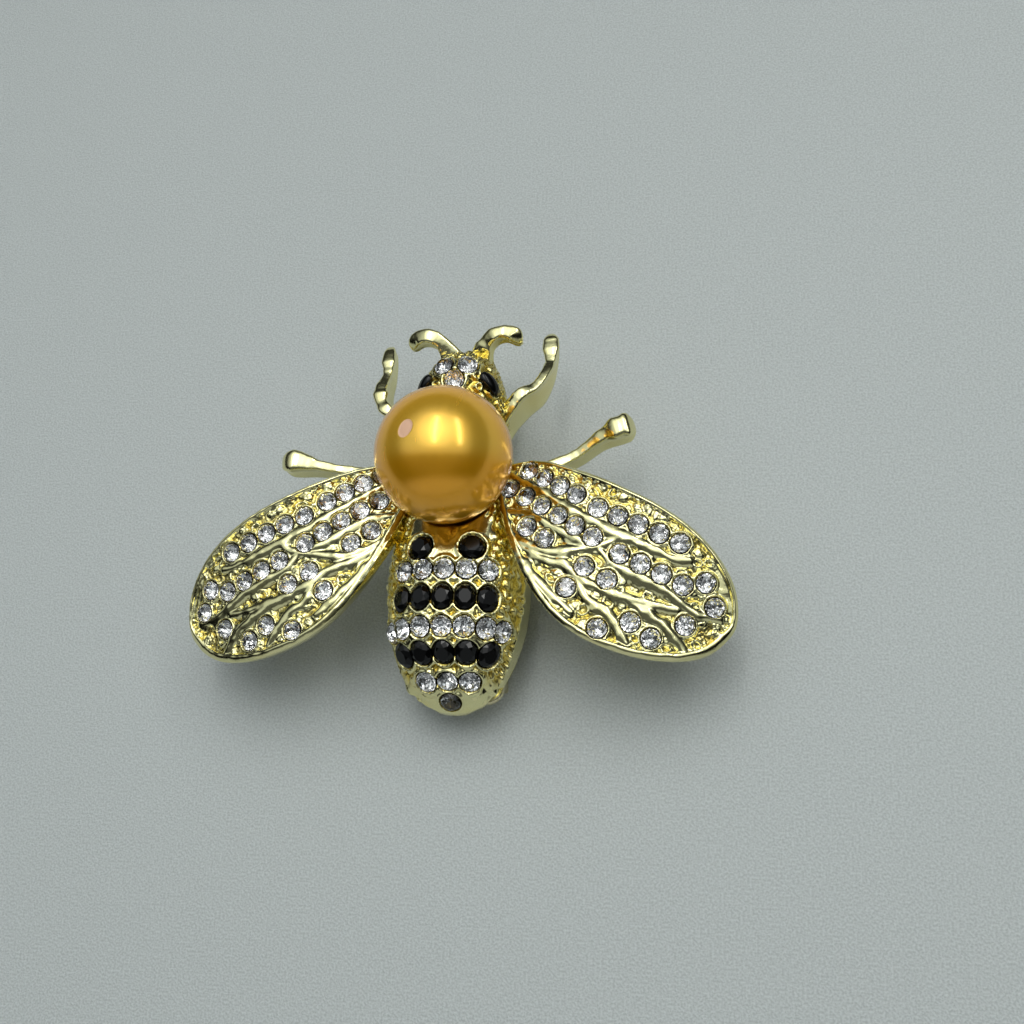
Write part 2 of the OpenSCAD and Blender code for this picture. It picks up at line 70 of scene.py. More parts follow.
def stone_places(node, along):
    """Centre of the girdle, outward axis, side and length directions, half width and half length.

    The axis is the normal that most of a stone's triangles share, which is its table's.
    """
    t = node_triangles(node).reshape(-1, CAD_STONE_TRIANGLES, 3, 3)
    n = unit(np.cross(t[:, :, 1] - t[:, :, 0], t[:, :, 2] - t[:, :, 0]))
    alike = (np.einsum("nik,njk->nij", n, n) > PARALLEL).sum(2).argmax(1)
    axis = n[np.arange(len(t)), alike]
    side = unit(np.cross(np.array(along, float), axis))
    length = np.cross(axis, side)
    p = t.reshape(len(t), -1, 3)
    up = np.einsum("nik,nk->ni", p, axis)
    culet = p[np.arange(len(p)), up.argmin(1)]
    out = p - culet[:, None]
    wide = np.abs(np.einsum("nik,nk->ni", out, side))
    long = np.abs(np.einsum("nik,nk->ni", out, length))
    girdle = np.take_along_axis(up - up.min(1, keepdims=True), (wide + long).argmax(1)[:, None], 1)
    corner = np.cos(np.pi / CAD_FACETS)
    return {"centre": culet + axis * girdle, "axis": axis, "side": side, "along": length,
            "half_width": wide.max(1) / corner, "half_length": long.max(1) / corner}


sweep = np.radians(30)
# Direction of each stone's length: across the wings, and along the body
length_directions = {
    "right_wing_stones": (np.sin(sweep), np.cos(sweep), 0),
    "left_wing_stones": (-np.sin(sweep), np.cos(sweep), 0),
    "abdomen_clear_stones": (0, 1, 0), "abdomen_black_stones": (0, 1, 0), "head_stones": (0, 1, 0)}
stones = {node: stone_places(node, along) for node, along in length_directions.items()}


def stone_distance(points, s, i):
    """Distance from the edge of stone i, negative over the stone, and height above its girdle."""
    rel = points - s["centre"][i]
    a = rel @ s["side"][i] / s["half_width"][i]
    b = rel @ s["along"][i] / s["half_length"][i]
    mean = (s["half_width"][i] + s["half_length"][i]) / 2
    return (np.hypot(a, b) - 1) * mean, rel @ s["axis"][i]


# Plating
# The whole casting is plated in a pale, slightly green gold. Ridges are polished by
# wear, and the floor between them has a duller, cast surface. Deeper places are painted
# darker and warmer, as painted shade and a painted reflection of the gold around them,
# and the seats under the stones are painted near black as shade.
PALE_GOLD = (0.85, 0.80, 0.43, 1)
# Painted shade and a painted warm reflection: the deeper the relief, the more the plate's colour goes towards
# this darker, warmer gold.
RECESS_SHADE_GOLD = (0.72, 0.55, 0.11, 1)
# Painted shade: the seats round the stones go towards this near black, for the dark gap between stone and
# bezel.
SEAT_SHADE = (0.045, 0.036, 0.014, 1)
SEAT_SHADE_FROM, SEAT_SHADE_TO = 1.1, 1.9
DEEP_DULLING, WEAR = 0.13, 0.07


def add(tree, kind, inputs=(), **values):
    """A node with its properties set and its inputs set or linked by name or number."""
    node = tree.nodes.new(kind)
    for name, value in values.items():
        setattr(node, name, value)
    for name, value in dict(inputs).items():
        if isinstance(value, bpy.types.NodeSocket):
            tree.links.new(value, node.inputs[name])
        else:
            node.inputs[name].default_value = value
    return node


def compute(tree, operation, *terms, kind="ShaderNodeMath", output=0, **values):
    """Output of a math node on numbers, or of a vector math node on vectors."""
    return add(tree, kind, dict(enumerate(terms)), operation=operation, **values).outputs[output]


def remap(tree, value, low, high, to_low=0, to_high=1, **values):
    """Output of a node that carries the values from low to high over to another range."""
    node = add(tree, "ShaderNodeMapRange", {"Value": value, "From Min": low, "From Max": high,
                                            "To Min": to_low, "To Max": to_high}, **values)
    return node.outputs["Result"]


def noise(tree, place, scale, detail):
    """Output of a noise texture at a place."""
    return add(tree, "ShaderNodeTexNoise", {"Vector": place, "Scale": scale, "Detail": detail}).outputs["Fac"]


def blend(tree, factor, a, b):
    """Output of a node that goes from colour a to colour b."""
    return add(tree, "ShaderNodeMix", {"Factor": factor, "A": a, "B": b}, data_type="RGBA").outputs["Result"]


def own_place(tree):
    """Place on the object, in metres."""
    return add(tree, "ShaderNodeTexCoord").outputs["Object"]


def connect(tree, sockets, outputs):
    """Links outputs to the sockets with the given names."""
    for label, output in outputs.items():
        tree.links.new(output, sockets[label])


def new_material(name, values):
    """A material, its node tree, and its shader's sockets, of which some are set to plain values."""
    material = bpy.data.materials.new(name)
    material.use_nodes = True
    tree = material.node_tree
    sockets = tree.nodes["Principled BSDF"].inputs
    for label, value in values.items():
        sockets[label].default_value = value
    return material, tree, sockets


def new_group(name, inputs, outputs):
    """An empty shader group with named sockets, and its input and output nodes."""
    tree = bpy.data.node_groups.new(name, "ShaderNodeTree")
    for label, kind, value in inputs:
        socket = tree.interface.new_socket(label, in_out="INPUT", socket_type=kind)
        socket.default_value = value
    for label, kind in outputs:
        tree.interface.new_socket(label, in_out="OUTPUT", socket_type=kind)
    return tree, tree.nodes.new("NodeGroupInput").outputs, tree.nodes.new("NodeGroupOutput").inputs


def plating_group():
    """Gold plate: colour, roughness and bump height from the depth in the relief; deeper places get a darker,
    warmer colour as painted shade and painted reflection, and past 1 the seats get near-black painted shade.
    """
    tree, given, made = new_group(
        "plating",
        [("Depth", "NodeSocketFloat", 0.0), ("Pale", "NodeSocketColor", PALE_GOLD),
         ("Shaded", "NodeSocketColor", RECESS_SHADE_GOLD), ("Polish", "NodeSocketFloat", 0.12)],
        [("Color", "NodeSocketColor"), ("Roughness", "NodeSocketFloat"), ("Height", "NodeSocketFloat")])
    place = own_place(tree)
    cloud = remap(tree, noise(tree, place, 260, 3), 0.35, 0.7, -0.12, 0.16)
    fine = noise(tree, place, 2600, 4)
    deep = compute(tree, "ADD", given["Depth"], cloud, use_clamp=True)
    tone = blend(tree, deep, given["Pale"], given["Shaded"])
    shaded_seat_share = remap(tree, given["Depth"], SEAT_SHADE_FROM, SEAT_SHADE_TO)
    dull = compute(tree, "MULTIPLY_ADD", given["Depth"], DEEP_DULLING, given["Polish"])
    worn = remap(tree, fine, 0.3, 0.75, 0, WEAR)
    connect(tree, made, {"Color": blend(tree, shaded_seat_share, tone, SEAT_SHADE),
                         "Roughness": compute(tree, "ADD", dull, worn), "Height": fine})
    return tree


plating = plating_group()


def plated_metal(name, polish, bump, attribute=None, pale=PALE_GOLD, deep=RECESS_SHADE_GOLD):
    """A metal that takes its tone from the plating group, painted shade in its recesses included, and its
    depth from a mesh attribute.
    """
    material, tree, sockets = new_material(name, {"Metallic": 1})
    tone = add(tree, "ShaderNodeGroup", {"Pale": pale, "Shaded": deep, "Polish": polish}, node_tree=plating)
    if attribute:
        depth = add(tree, "ShaderNodeAttribute", attribute_name=attribute)
        tree.links.new(depth.outputs["Fac"], tone.inputs["Depth"])
    made = tone.outputs
    grain = add(tree, "ShaderNodeBump", {"Strength": bump, "Distance": 0.00004, "Height": made["Height"]})
    connect(tree, sockets, {"Base Color": made["Color"], "Roughness": made["Roughness"],
                            "Normal": grain.outputs["Normal"]})
    return material


gold_plate = plated_metal("gold_plate", 0.10, 0.35, "recess")

# Body
# Head, thorax and abdomen are one casting, hollow behind. Wavy polished bands stand
# between the rows of stones, the flanks are granulated, and a smooth skirt runs
# round below a raised line. A dish with a pointed lip is let in under the pearl.
pearl_box = np.array(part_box("pearl")) / MM
pearl_r = (pearl_box[1, 0] - pearl_box[0, 0]) / 2
pearl_centre = np.array([*pearl_box.mean(0)[:2], pearl_box[1, 2] - pearl_r])
casting_box = np.array(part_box("casting")) / MM
back_z = casting_box[0, 2]
tail_len = pearl_centre[1] - casting_box[0, 1]
head_len = 12.9
body_w = 13
crest_h = 6.9
body_power = 2.5
body_wall = 1.5
hollow_lid = 2.3
hollow_from, hollow_to = -16.9, -6.4
dish_rim_r = 5.5
dish_rise = 2.85
dish_gap = 0.05
dish_mark = 0.2
lip_reach = 7.3
lip_slope = 0.85
lip_from, lip_fall = -3.5, 0.38
rim_share = 0.94
skirt_share = 0.37
body_rows, body_columns, back_columns = 360, 200, 42
crest_column = body_columns // 2
# Stands for "none near" in a distance or in the relief
FAR = 9.0
# Seats: how far they reach past a stone's edge, their depth there, and their slope
seat_reach, seat_top, seat_slope = 0.09, 0.2, 0.75
# Bezels and polished bands round the stones, with the raised line in each band
body_bezel_h, body_bezel_w = 0.16, 0.17
band_from, band_to, band_h = 0.22, 0.5, 0.05
band_line_at, band_line_w, band_line_h = 0.34, 0.12, 0.09
# Raised line above the skirt, and how far the skirt lies below it
skirt_line_w, skirt_line_h, skirt_drop = 0.26, 0.20, 0.10
tail_cap = 1.8
# Layers of the relief: height, size and seed
BODY_GRAIN = [(0.20, 1.0, 11), (0.03, 0.4, 15)]
BAND_WAVES = [(0.05, 0.55, 21), (0.03, 0.3, 22)]
COLLAR_WAVES = [(0.03, 1.1, 23)]
SKIRT_WAVES = [(0.03, 1.6, 25)]
TAIL_WAVES = [(0.22, 1.1, 27), (0.07, 0.45, 28)]
# Depth marks for the plating, which paints higher marks darker and warmer as painted shade: polished metal,
# bare casting out of sight, and seats painted near black as shade round the stones
POLISHED, PLAIN, SHADED_SEAT = 0.05, 0.3, 2.0
# Columns: place as a share of the tail's (below 0) or the head's length, half width as a
# share of half the body's width, height as a share of the crest's, width of the foot
BODY = np.array([
    [-1.00, 0.03, 0.08, 1.00], [-0.99, 0.19, 0.16, 1.00], [-0.955, 0.39, 0.27, 1.00],
    [-0.90, 0.61, 0.45, 1.00], [-0.815, 0.77, 0.69, 1.00], [-0.73, 0.87, 0.90, 1.00],
    [-0.64, 0.94, 0.98, 1.00], [-0.51, 0.98, 1.00, 1.00], [-0.39, 0.98, 1.00, 1.00],
    [-0.31, 0.96, 0.97, 1.00], [-0.20, 0.95, 0.90, 0.95], [0.00, 0.90, 0.87, 0.86],
    [0.15, 0.84, 0.87, 0.72], [0.28, 0.80, 0.89, 0.66], [0.41, 0.78, 1.02, 0.66],
    [0.53, 0.74, 1.15, 0.70], [0.65, 0.68, 1.20, 0.72], [0.745, 0.60, 1.16, 0.74],
    [0.84, 0.50, 1.02, 0.76], [0.915, 0.38, 0.84, 0.80], [0.97, 0.25, 0.64, 0.80],
    [1.00, 0.06, 0.42, 0.80]])


def run_along(points, axis=0):
    """Length along lines of points, from each line's first point to each of its points."""
    first = np.take(points, [0], axis)
    return np.cumsum(np.linalg.norm(np.diff(points, axis=axis, prepend=first), axis=-1), axis)


def spline(rows, count, lengths=3):
    """Smooth curve through a table's rows, in equal steps of the length of its first columns."""
    k = np.linspace(0, len(rows) - 1, 40 * len(rows))
    i = np.minimum(k.astype(int), len(rows) - 2)
    f = (k - i)[:, None]
    a, b, c, d = (rows[np.clip(i + s, 0, len(rows) - 1)] for s in (-1, 0, 1, 2))
    fine = b + f / 2 * (c - a + f * (2 * a - 5 * b + 4 * c - d + f * (3 * b - a - 3 * c + d)))
    run = run_along(fine[:, :lengths])
    at = np.linspace(0, run[-1], count)
    return np.stack([np.interp(at, run, column) for column in fine.T], 1)


def step(x, low, high):
    """Soft step from 0 at low to 1 at high."""
    t = np.clip((x - low) / (high - low), 0, 1)
    return t * t * (3 - 2 * t)


def fillet(a, b, r):
    """The greater of two heights, with a rounded meeting of size r."""
    return np.maximum(a, b) + r / 4 * np.clip(1 - np.abs(a - b) / r, 0, 1) ** 2


def scatter(x, y, size, seed):
    """Distances, in cells, to the nearest two of points scattered one to a cell, and the nearest's number."""
    spots = np.random.default_rng(seed).random((64, 64, 3))
    u, v = x / size, y / size
    i, j = np.floor(u).astype(int), np.floor(v).astype(int)
    nearest, second, number = np.full(u.shape, FAR), np.full(u.shape, FAR), np.zeros(u.shape)
    for di in (-1, 0, 1):
        for dj in (-1, 0, 1):
            spot = spots[(i + di) % 64, (j + dj) % 64]
            d = np.hypot(i + di + spot[..., 0] - u, j + dj + spot[..., 1] - v)
            near = d < nearest
            second = np.where(near, nearest, np.minimum(second, d))
            number = np.where(near, spot[..., 2], number)
            nearest = np.where(near, d, nearest)
    return nearest, second, number


def ripple(x, y, size, seed):
    """Smooth random height from -1 to 1: random values on a square grid, blended between its corners."""
    values = np.random.default_rng(seed).random((64, 64)) * 2 - 1
    u, v = x / size, y / size
    i, j = np.floor(u).astype(int), np.floor(v).astype(int)
    f, g = step(u - i, 0, 1), step(v - j, 0, 1)
    low = values[i % 64, j % 64] * (1 - f) + values[(i + 1) % 64, j % 64] * f
    high = values[i % 64, (j + 1) % 64] * (1 - f) + values[(i + 1) % 64, (j + 1) % 64] * f
    return low * (1 - g) + high * g


def granulation(x, y, size, seed):
    """Cast grain from -1 to 1: some cells hold a round bead, the others a small ring with a dimple."""
    bent_x = x + 0.25 * ripple(x, y, 1.1, seed + 1)
    bent_y = y + 0.25 * ripple(x, y, 1.3, seed + 2)
    near, second, number = scatter(bent_x, bent_y, size, seed)
    bead = np.sqrt(np.clip(1 - (near / 0.46) ** 2, 0, 1))
    ring = 1.1 * np.exp(-((near - 0.34) / 0.12) ** 2) - 0.35 * np.exp(-(near / 0.2) ** 2)
    gap = 1 - step(second - near, 0.0, 0.28)
    return np.where(number > 0.42, bead, ring) * 1.25 - 0.55 - 0.5 * gap + 0.22 * ripple(x, y, 0.35, seed + 3)


def layered(pattern, x, y, layers):
    """Sum of a pattern's layers, each given by its height, its size and its seed."""
    return sum(height * pattern(x, y, size, seed) for height, size, seed in layers)


def seat_relief(points, fields, ring_h, ring_w):
    """Cone under each stone, a thin raised bezel round it, and the distance to the nearest stone's edge.

    The bezel sinks where two stones nearly touch.
    """
    cone, edge, other = np.full((3,) + points.shape[:-1], FAR)
    for s in fields:
        for i in range(len(s["centre"])):
            off, up = stone_distance(points, s, i)
            off = np.where(np.abs(up) < 2, off, FAR)
            deep = -seat_top - seat_slope * np.clip(-off, 0, s["half_width"][i])
            cone = np.where(off < seat_reach, deep, cone)
            other = np.minimum(other, np.maximum(edge, off))
            edge = np.minimum(edge, off)
    room = 0.35 + 0.65 * step(edge + other, 0.2, 0.45)
    bezel = ring_h * room * (1 - ((edge - ring_w) / (0.8 * ring_w)) ** 2)
    return cone, np.maximum(bezel, -FAR), edge


def grid_mesh(name, points, caps=True, **marks):
    """Mesh over rows of points in millimetres; each row closes on itself, and a face closes each end.

    Marks are arrays like the grid, kept as mesh attributes.
    """
    rows, columns = points.shape[:2]
    index = np.arange(rows * columns).reshape(rows, columns)
    beside = np.roll(index, -1, 1)
    quads = np.stack([index[:-1], beside[:-1], beside[1:], index[1:]], -1)
    faces = quads.reshape(-1, 4).tolist()
    if caps:
        faces += [index[0].tolist(), index[-1][::-1].tolist()]
    mesh = bpy.data.meshes.new(name)
    mesh.from_pydata((points.reshape(-1, 3) * MM).tolist(), [], faces)
    for label, values in marks.items():
        attribute = mesh.attributes.new(label, "FLOAT", "POINT")
        attribute.data.foreach_set("value", values.ravel().astype(np.float32))
    return mesh


def finish_piece(name, mesh, materials, replaced, smooth=True):
    """Puts a mesh in the scene as a piece of the brooch that stands for a CAD node, its faces outwards."""
    b = bmesh.new()
    b.from_mesh(mesh)
    bmesh.ops.remove_doubles(b, verts=b.verts, dist=1e-8)
    bmesh.ops.recalc_face_normals(b, faces=b.faces)
    b.to_mesh(mesh)
    b.free()
    mesh.polygons.foreach_set("use_smooth", np.full(len(mesh.polygons), smooth))
    piece = bpy.data.objects.new(name, mesh)
    bpy.context.scene.collection.objects.link(piece)
    for material in materials:
        mesh.materials.append(material)
    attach(piece, "root")
    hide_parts(replaced)
    return piece


def pearl_dish(points):
    """Height of the dish at each point: a bowl under the pearl, and a V that slopes into it from the tail."""
    out = np.hypot(points[..., 0], points[..., 1])
    ball = (dish_rim_r ** 2 + dish_rise ** 2) / (2 * dish_rise)
    bottom = pearl_centre[2] - pearl_r - dish_gap - back_z
    bowl = bottom + ball - np.sqrt(np.maximum(ball ** 2 - np.minimum(out, dish_rim_r) ** 2, 0))
    lip = lip_reach + points[..., 1] - lip_slope * np.abs(points[..., 0])
    v_cut = crest_h * 0.985 - lip_fall * np.clip(lip, 0, 3)
    tailwards = (points[..., 1] < lip_from) & (lip > 0)
    return np.minimum(np.where(out < dish_rim_r, bowl, np.inf), np.where(tailwards, v_cut, np.inf))


def body_relief(top, h):
    """Relief over the loft, the share of it that is polished, and the seats and bezels of the stones."""
    x, y, z = np.moveaxis(top, -1, 0)
    across = run_along(top, 1)
    across = across - across[:, crest_column:crest_column + 1]
    travel = run_along(top[:, crest_column])[:, None] + 0 * x
    level = z / np.maximum(h, 0.1)
    fields = [stones[n] for n in ("abdomen_clear_stones", "abdomen_black_stones", "head_stones")]
    placed = top + [0, pearl_centre[1], back_z]
    cone, bezel, edge = seat_relief(placed, fields, body_bezel_h, body_bezel_w)
    rear = step(y, -5.0, -7.5)
    skirt = rear * (1 - step(level, skirt_share - 0.03, skirt_share + 0.03))
    bands = (1 - step(edge, band_from, band_to)) * (1 - skirt)
    collar = step(y, -9.0, -8.2) * (1 - step(y, -4.6, -4.0)) * (1 - step(np.abs(x), 3.4, 4.4)) * (level > 0.6)
    cap = 1 - step(y, tail_cap - tail_len, tail_cap + 1.2 - tail_len)
    smooth = np.clip(bands + collar + skirt + cap, 0, 1)
    relief = (1 - smooth) * (layered(granulation, across, travel, BODY_GRAIN) - 0.02)
    relief += bands * (band_h + layered(ripple, across, y, BAND_WAVES))
    relief += bands * band_line_h * np.exp(-(((edge - band_line_at) / band_line_w) ** 2))
    relief += collar * layered(ripple, across, y, COLLAR_WAVES)
    relief += cap * layered(ripple, across, travel, TAIL_WAVES)
    relief += rear * skirt_line_h * np.exp(-(((level - skirt_share) * h / skirt_line_w) ** 2))
    relief -= skirt * (skirt_drop + layered(ripple, across, y, SKIRT_WAVES))
    relief = fillet(relief, bezel, 0.08)
    relief = np.minimum(relief, cone)
    relief *= step(h, 0.8, 2.2) * step(head_len - y, 0.0, 0.8)
    return relief, smooth, cone, bezel


def body_back(foot_x, y, h):
    """Points of the back from foot to foot: a flat rim, and between it the hollow, which leaves a lid."""
    inner = np.cos(np.pi * (1 - np.linspace(0, 1, back_columns)[None, 1:-1]))
    rim = np.abs(inner) > rim_share
    hollow = step(y, hollow_from, hollow_from + 0.6) * (1 - step(y, hollow_to - 0.6, hollow_to))
    half_room = np.maximum(np.abs(foot_x) - body_wall, np.abs(foot_x) * 0.5)
    x = np.where(rim, inner * np.abs(foot_x), inner / rim_share * half_room)
    arch = np.clip(1 - (np.abs(inner) / rim_share) ** 3, 0, 1) ** (1 / 3)
    rise = np.where(rim, 0, hollow * np.maximum(h - hollow_lid, 0) * arch)
    return np.stack([x, y + 0 * x, rise], -1)


def body_surface():
    """The body as a loft: superelliptic sections from foot to foot, then the back with its hollow."""
    table = BODY * [1, body_w / 2, crest_h, 1]
    table[:, 0] *= np.where(table[:, 0] < 0, tail_len, head_len)
    y, w, h, foot = (column[:, None] for column in spline(table, body_rows).T)
    angle = np.linspace(0, np.pi, body_columns)[None]
    angle = angle - 0.03 * np.sin(4 * angle)
    c, s = np.cos(angle), np.sin(angle)
    narrow = foot + (1 - foot) * np.minimum(1, 1.5 * s)
    x = w * narrow * np.sign(c) * np.abs(c) ** (2 / body_power)
    top = np.stack([x, y + 0 * x, h * s ** (2 / body_power)], -1)
    normal = unit(np.cross(np.gradient(top, axis=0), np.gradient(top, axis=1)) + 1e-12)
    relief, smooth, cone, bezel = body_relief(top, h)
    shaped = top + normal * relief[..., None]
    dish = pearl_dish(shaped)
    inside = (dish < shaped[..., 2]) & (cone == FAR)
    shaped[..., 2] = np.where(inside, dish, shaped[..., 2])
    # Lower relief gets a higher mark, which the plating paints darker and warmer as painted shade; seats get
    # the near-black painted shade, and the dish a milder mark.
    recess = np.clip(0.62 - 3.2 * relief, 0, 1) * (1 - smooth) + smooth * POLISHED
    recess = np.where(cone < FAR, SHADED_SEAT, np.where(bezel > 0.06, 0.0, recess))
    recess = np.where(inside, dish_mark, recess)
    back = body_back(shaped[:, -1:, 0], y, h)
    loop = np.concatenate([shaped, back], 1) + [0, pearl_centre[1], back_z]
    mark = np.concatenate([recess, PLAIN + 0 * back[..., 0]], 1)
    return grid_mesh("body", loop, recess=mark)


finish_piece("body", body_surface(), [gold_plate], "casting")

# Wings
# Each wing is a thin arched plate of the same casting: a rounded polished rim, raised
# veins that fork towards the edge, drilled seats with thin bezels, and between them
# a sunk floor covered in cast beads and small rings.
wing_len = 22.7
wing_front = 5.35
wing_rear = 7.65
wing_root = (4.8, -2.5, 5.5)
wing_arch = 2.6
wing_droop = 2.3
wing_twist = 0.2
wing_plate = 1.4
root_swell = 0.8
rim_w = 0.8
rim_h = 0.3
vein_w = 0.72
floor_drop = 0.26
wing_rows, wing_columns = 330, 180
wing_bezel_h, wing_bezel_w = 0.11, 0.15
prong_reach, prong_off, prong_r, prong_h = 2.6, 0.48, 0.2, 0.12
# The underside: draft and bulge of the wall, curve of its slope, and the dent between the walls
wall_draft, wall_bulge, wall_curve = 0.4, 0.04, 2.5
dent_h, dent_share = 0.28, 0.42
tip_tuck = 0.4
pearl_room = 0.06
# Columns: share along, front edge and rear edge as shares of the reach on that side
WING = np.array([
    [-0.06, 0.58, 0.02], [0.00, 0.73, -0.15], [0.07, 0.83, -0.33], [0.17, 0.89, -0.56],
    [0.29, 0.94, -0.79], [0.42, 0.98, -0.95], [0.55, 1.00, -1.00], [0.68, 0.96, -0.945],
    [0.79, 0.845, -0.835], [0.88, 0.665, -0.68], [0.94, 0.46, -0.52], [0.98, 0.22, -0.335],
    [0.998, 0.03, -0.15], [1.002, -0.09, -0.065]])
# Columns of each point: share along, share across
VEINS = [
    [[-0.04, 0.39], [0.10, 0.34], [0.20, 0.28], [0.32, 0.25], [0.46, 0.25], [0.60, 0.32],
     [0.70, 0.38], [0.75, 0.48]],
    [[0.05, -0.14], [0.14, -0.07], [0.24, -0.08], [0.36, -0.09], [0.44, -0.03], [0.49, 0.22]],
    [[0.44, -0.05], [0.52, -0.13], [0.62, -0.11], [0.74, -0.09], [0.86, -0.12], [0.94, -0.02]],
    [[0.09, -0.37], [0.20, -0.40], [0.30, -0.34], [0.37, -0.20], [0.44, -0.05]],
    [[0.11, -0.43], [0.27, -0.46], [0.38, -0.41], [0.47, -0.45], [0.59, -0.41], [0.72, -0.30],
     [0.80, -0.20]],
    [[0.42, -0.44], [0.50, -0.60], [0.60, -0.64], [0.71, -0.80]],
    [[0.62, -0.40], [0.72, -0.40], [0.80, -0.43], [0.89, -0.54]],
    [[0.12, -0.46], [0.22, -0.60], [0.34, -0.73], [0.48, -0.82]]]


def reach(t):
    """Distance across a wing for a share across, which has its own reach on each side."""
    return t * np.where(t < 0, wing_rear, wing_front)


def wing_height(a, b):
    """Height of the arched and slightly twisted plate above the casting's back."""
    s = a / wing_len
    return wing_root[2] + 4 * wing_arch * s * (1 - s) - wing_droop * s + wing_twist * s * b / wing_front


def wing_world(a, b, lift):
    """Right wing's points from distances along and across it and a lift above the plate."""
    x = wing_root[0] + a * np.cos(sweep) + b * np.sin(sweep)
    y = pearl_centre[1] + wing_root[1] - a * np.sin(sweep) + b * np.cos(sweep)
    return np.stack([x, y, back_z + wing_height(a, b) + lift], -1)


def path_distance(a, b, path):
    """Distance from a line through points, and the share of its length where the nearest point lies."""
    best, share = np.full(a.shape, np.inf), np.zeros(a.shape)
    for k in range(len(path) - 1):
        p, d = path[k], path[k + 1] - path[k]
        t = np.clip(((a - p[0]) * d[0] + (b - p[1]) * d[1]) / (d @ d), 0, 1)
        off = np.hypot(a - p[0] - t * d[0], b - p[1] - t * d[1])
        share = np.where(off < best, (k + t) / (len(path) - 1), share)
        best = np.minimum(best, off)
    return best, share


def prong_places(s):
    """Middles between neighbouring stones, moved to both sides, where small beads hold them."""
    c = s["centre"]
    gap = np.linalg.norm(c[:, None] - c[None], axis=-1)
    i, j = np.nonzero(np.triu(gap < prong_reach, 1))
    side = unit(np.cross(c[j] - c[i], s["axis"][i]))
    middle = (c[i] + c[j]) / 2
    return np.concatenate([middle + prong_off * side, middle - prong_off * side])


def raised_veins(a, b, wave):
    """Height of the veins, each a cosine ridge that swells in its middle, and the share that is polished."""
    ridge, polished = np.full(a.shape, -FAR), np.zeros(a.shape)
    for vein in VEINS:
        line = spline(np.array([[p[0] * wing_len, reach(p[1])] for p in vein]), 40)
        d, share = path_distance(a, b, line)
        half = vein_w / 2 * (0.9 + 0.5 * np.sin(np.pi * share)) * (1 + 0.35 * wave)
        crest = rim_h * (0.5 + 0.4 * np.sin(np.pi * np.clip(share, 0.05, 0.95))) * (1 + 0.2 * wave)
        bow = (crest + 0.12) * np.cos(np.clip(d / (half * 1.7), 0, 1) * np.pi / 2) ** 1.3 - 0.12
        skirt = -0.1 - 0.7 * np.clip(d - half * 1.3, 0, 1)
        ridge = fillet(ridge, np.maximum(bow, skirt), 0.1)
        polished = np.maximum(polished, 1 - step(d, half * 0.9, half * 1.6))
    return ridge, polished


def raised_rim(a, b, edge, wave):
    """Height of the rounded rim along the nearer of the two edges, and the share that is polished."""
    tip = edge[-1, [[0, 1], [0, 2]]]
    to_front, _ = path_distance(a, b, np.concatenate([edge[:-1:3, [0, 1]], tip]))
    to_rear, _ = path_distance(a, b, np.concatenate([edge[:-1:3, [0, 2]], tip[::-1]]))
    to_edge = np.minimum(to_front, to_rear)
    wide = rim_w * (0.95 - 0.33 * step(to_rear - to_front, -0.5, 0.5))
    bow = rim_h * np.cos(np.clip(to_edge / (wide / 2) - 1, -1, 1) * 1.4) * (1 + 0.12 * wave) - 0.02
    bow = bow - 0.8 * np.clip(to_edge - wide, 0, 1)
    return np.where(to_edge < wide * 1.2, bow, -FAR), 1 - step(to_edge, wide * 0.75, wide * 1.1)


def wing_relief(a, b, flat, edge, field, seed):
    """Relief of a wing's top: sunk grained floor, veins, rim, seats with bezels, and beads between stones."""
    wave = ripple(a, b, 0.9, seed)
    tip_dip = step(a, 0.80 * wing_len, 0.86 * wing_len) * step(b, 0.0, 0.8)
    ridge, polished = raised_veins(a, b, wave)
    smooth = np.maximum(0.9 * tip_dip, polished)
    relief = fillet(-floor_drop - 0.04 * tip_dip, ridge, 0.12)
    rim, polished = raised_rim(a, b, edge, wave)
    smooth = np.maximum(smooth, polished)
    relief = fillet(relief, rim, 0.12)
    cone, bezel, off = seat_relief(flat, [field], wing_bezel_h, wing_bezel_w)
    relief = fillet(relief, np.where(off < 0.6, -0.07 - 1.1 * np.clip(off - 0.12, 0, 1), -FAR), 0.08)
    smooth = np.maximum(smooth, 1 - step(off, 0.08, 0.2))
    relief += (1 - smooth) * layered(granulation, a, b, [(0.16, 1.15, seed + 3), (0.035, 0.5, seed + 5)])
    relief += smooth * layered(ripple, a, b, [(0.035, 0.55, seed + 9)])
    relief = fillet(relief, bezel, 0.05)
    for prong in prong_places(field):
        d = np.linalg.norm(flat - prong, axis=-1) / prong_r
        relief = np.maximum(relief, np.where(d < 1, prong_h * np.sqrt(np.clip(1 - d ** 2, 0, 1)), -FAR))
    relief = np.minimum(relief, cone)
    # Lower relief gets a higher mark, which the plating paints darker and warmer as painted shade; seats get
    # the near-black painted shade.
    recess = np.clip(0.45 - (relief + 0.15) * 3.2, 0, 1) * (1 - smooth)
    return relief, np.where(cone < FAR, SHADED_SEAT, recess)


def below_pearl(points):
    """Points with their heights held under the pearl's ball and its gap."""
    out = np.hypot(points[..., 0], points[..., 1] - pearl_centre[1])
    room = pearl_r + pearl_room
    highest = pearl_centre[2] - np.sqrt(np.clip(room ** 2 - out ** 2, 0, None))
    points[..., 2] = np.where(out < room, np.minimum(points[..., 2], highest), points[..., 2])
    return points


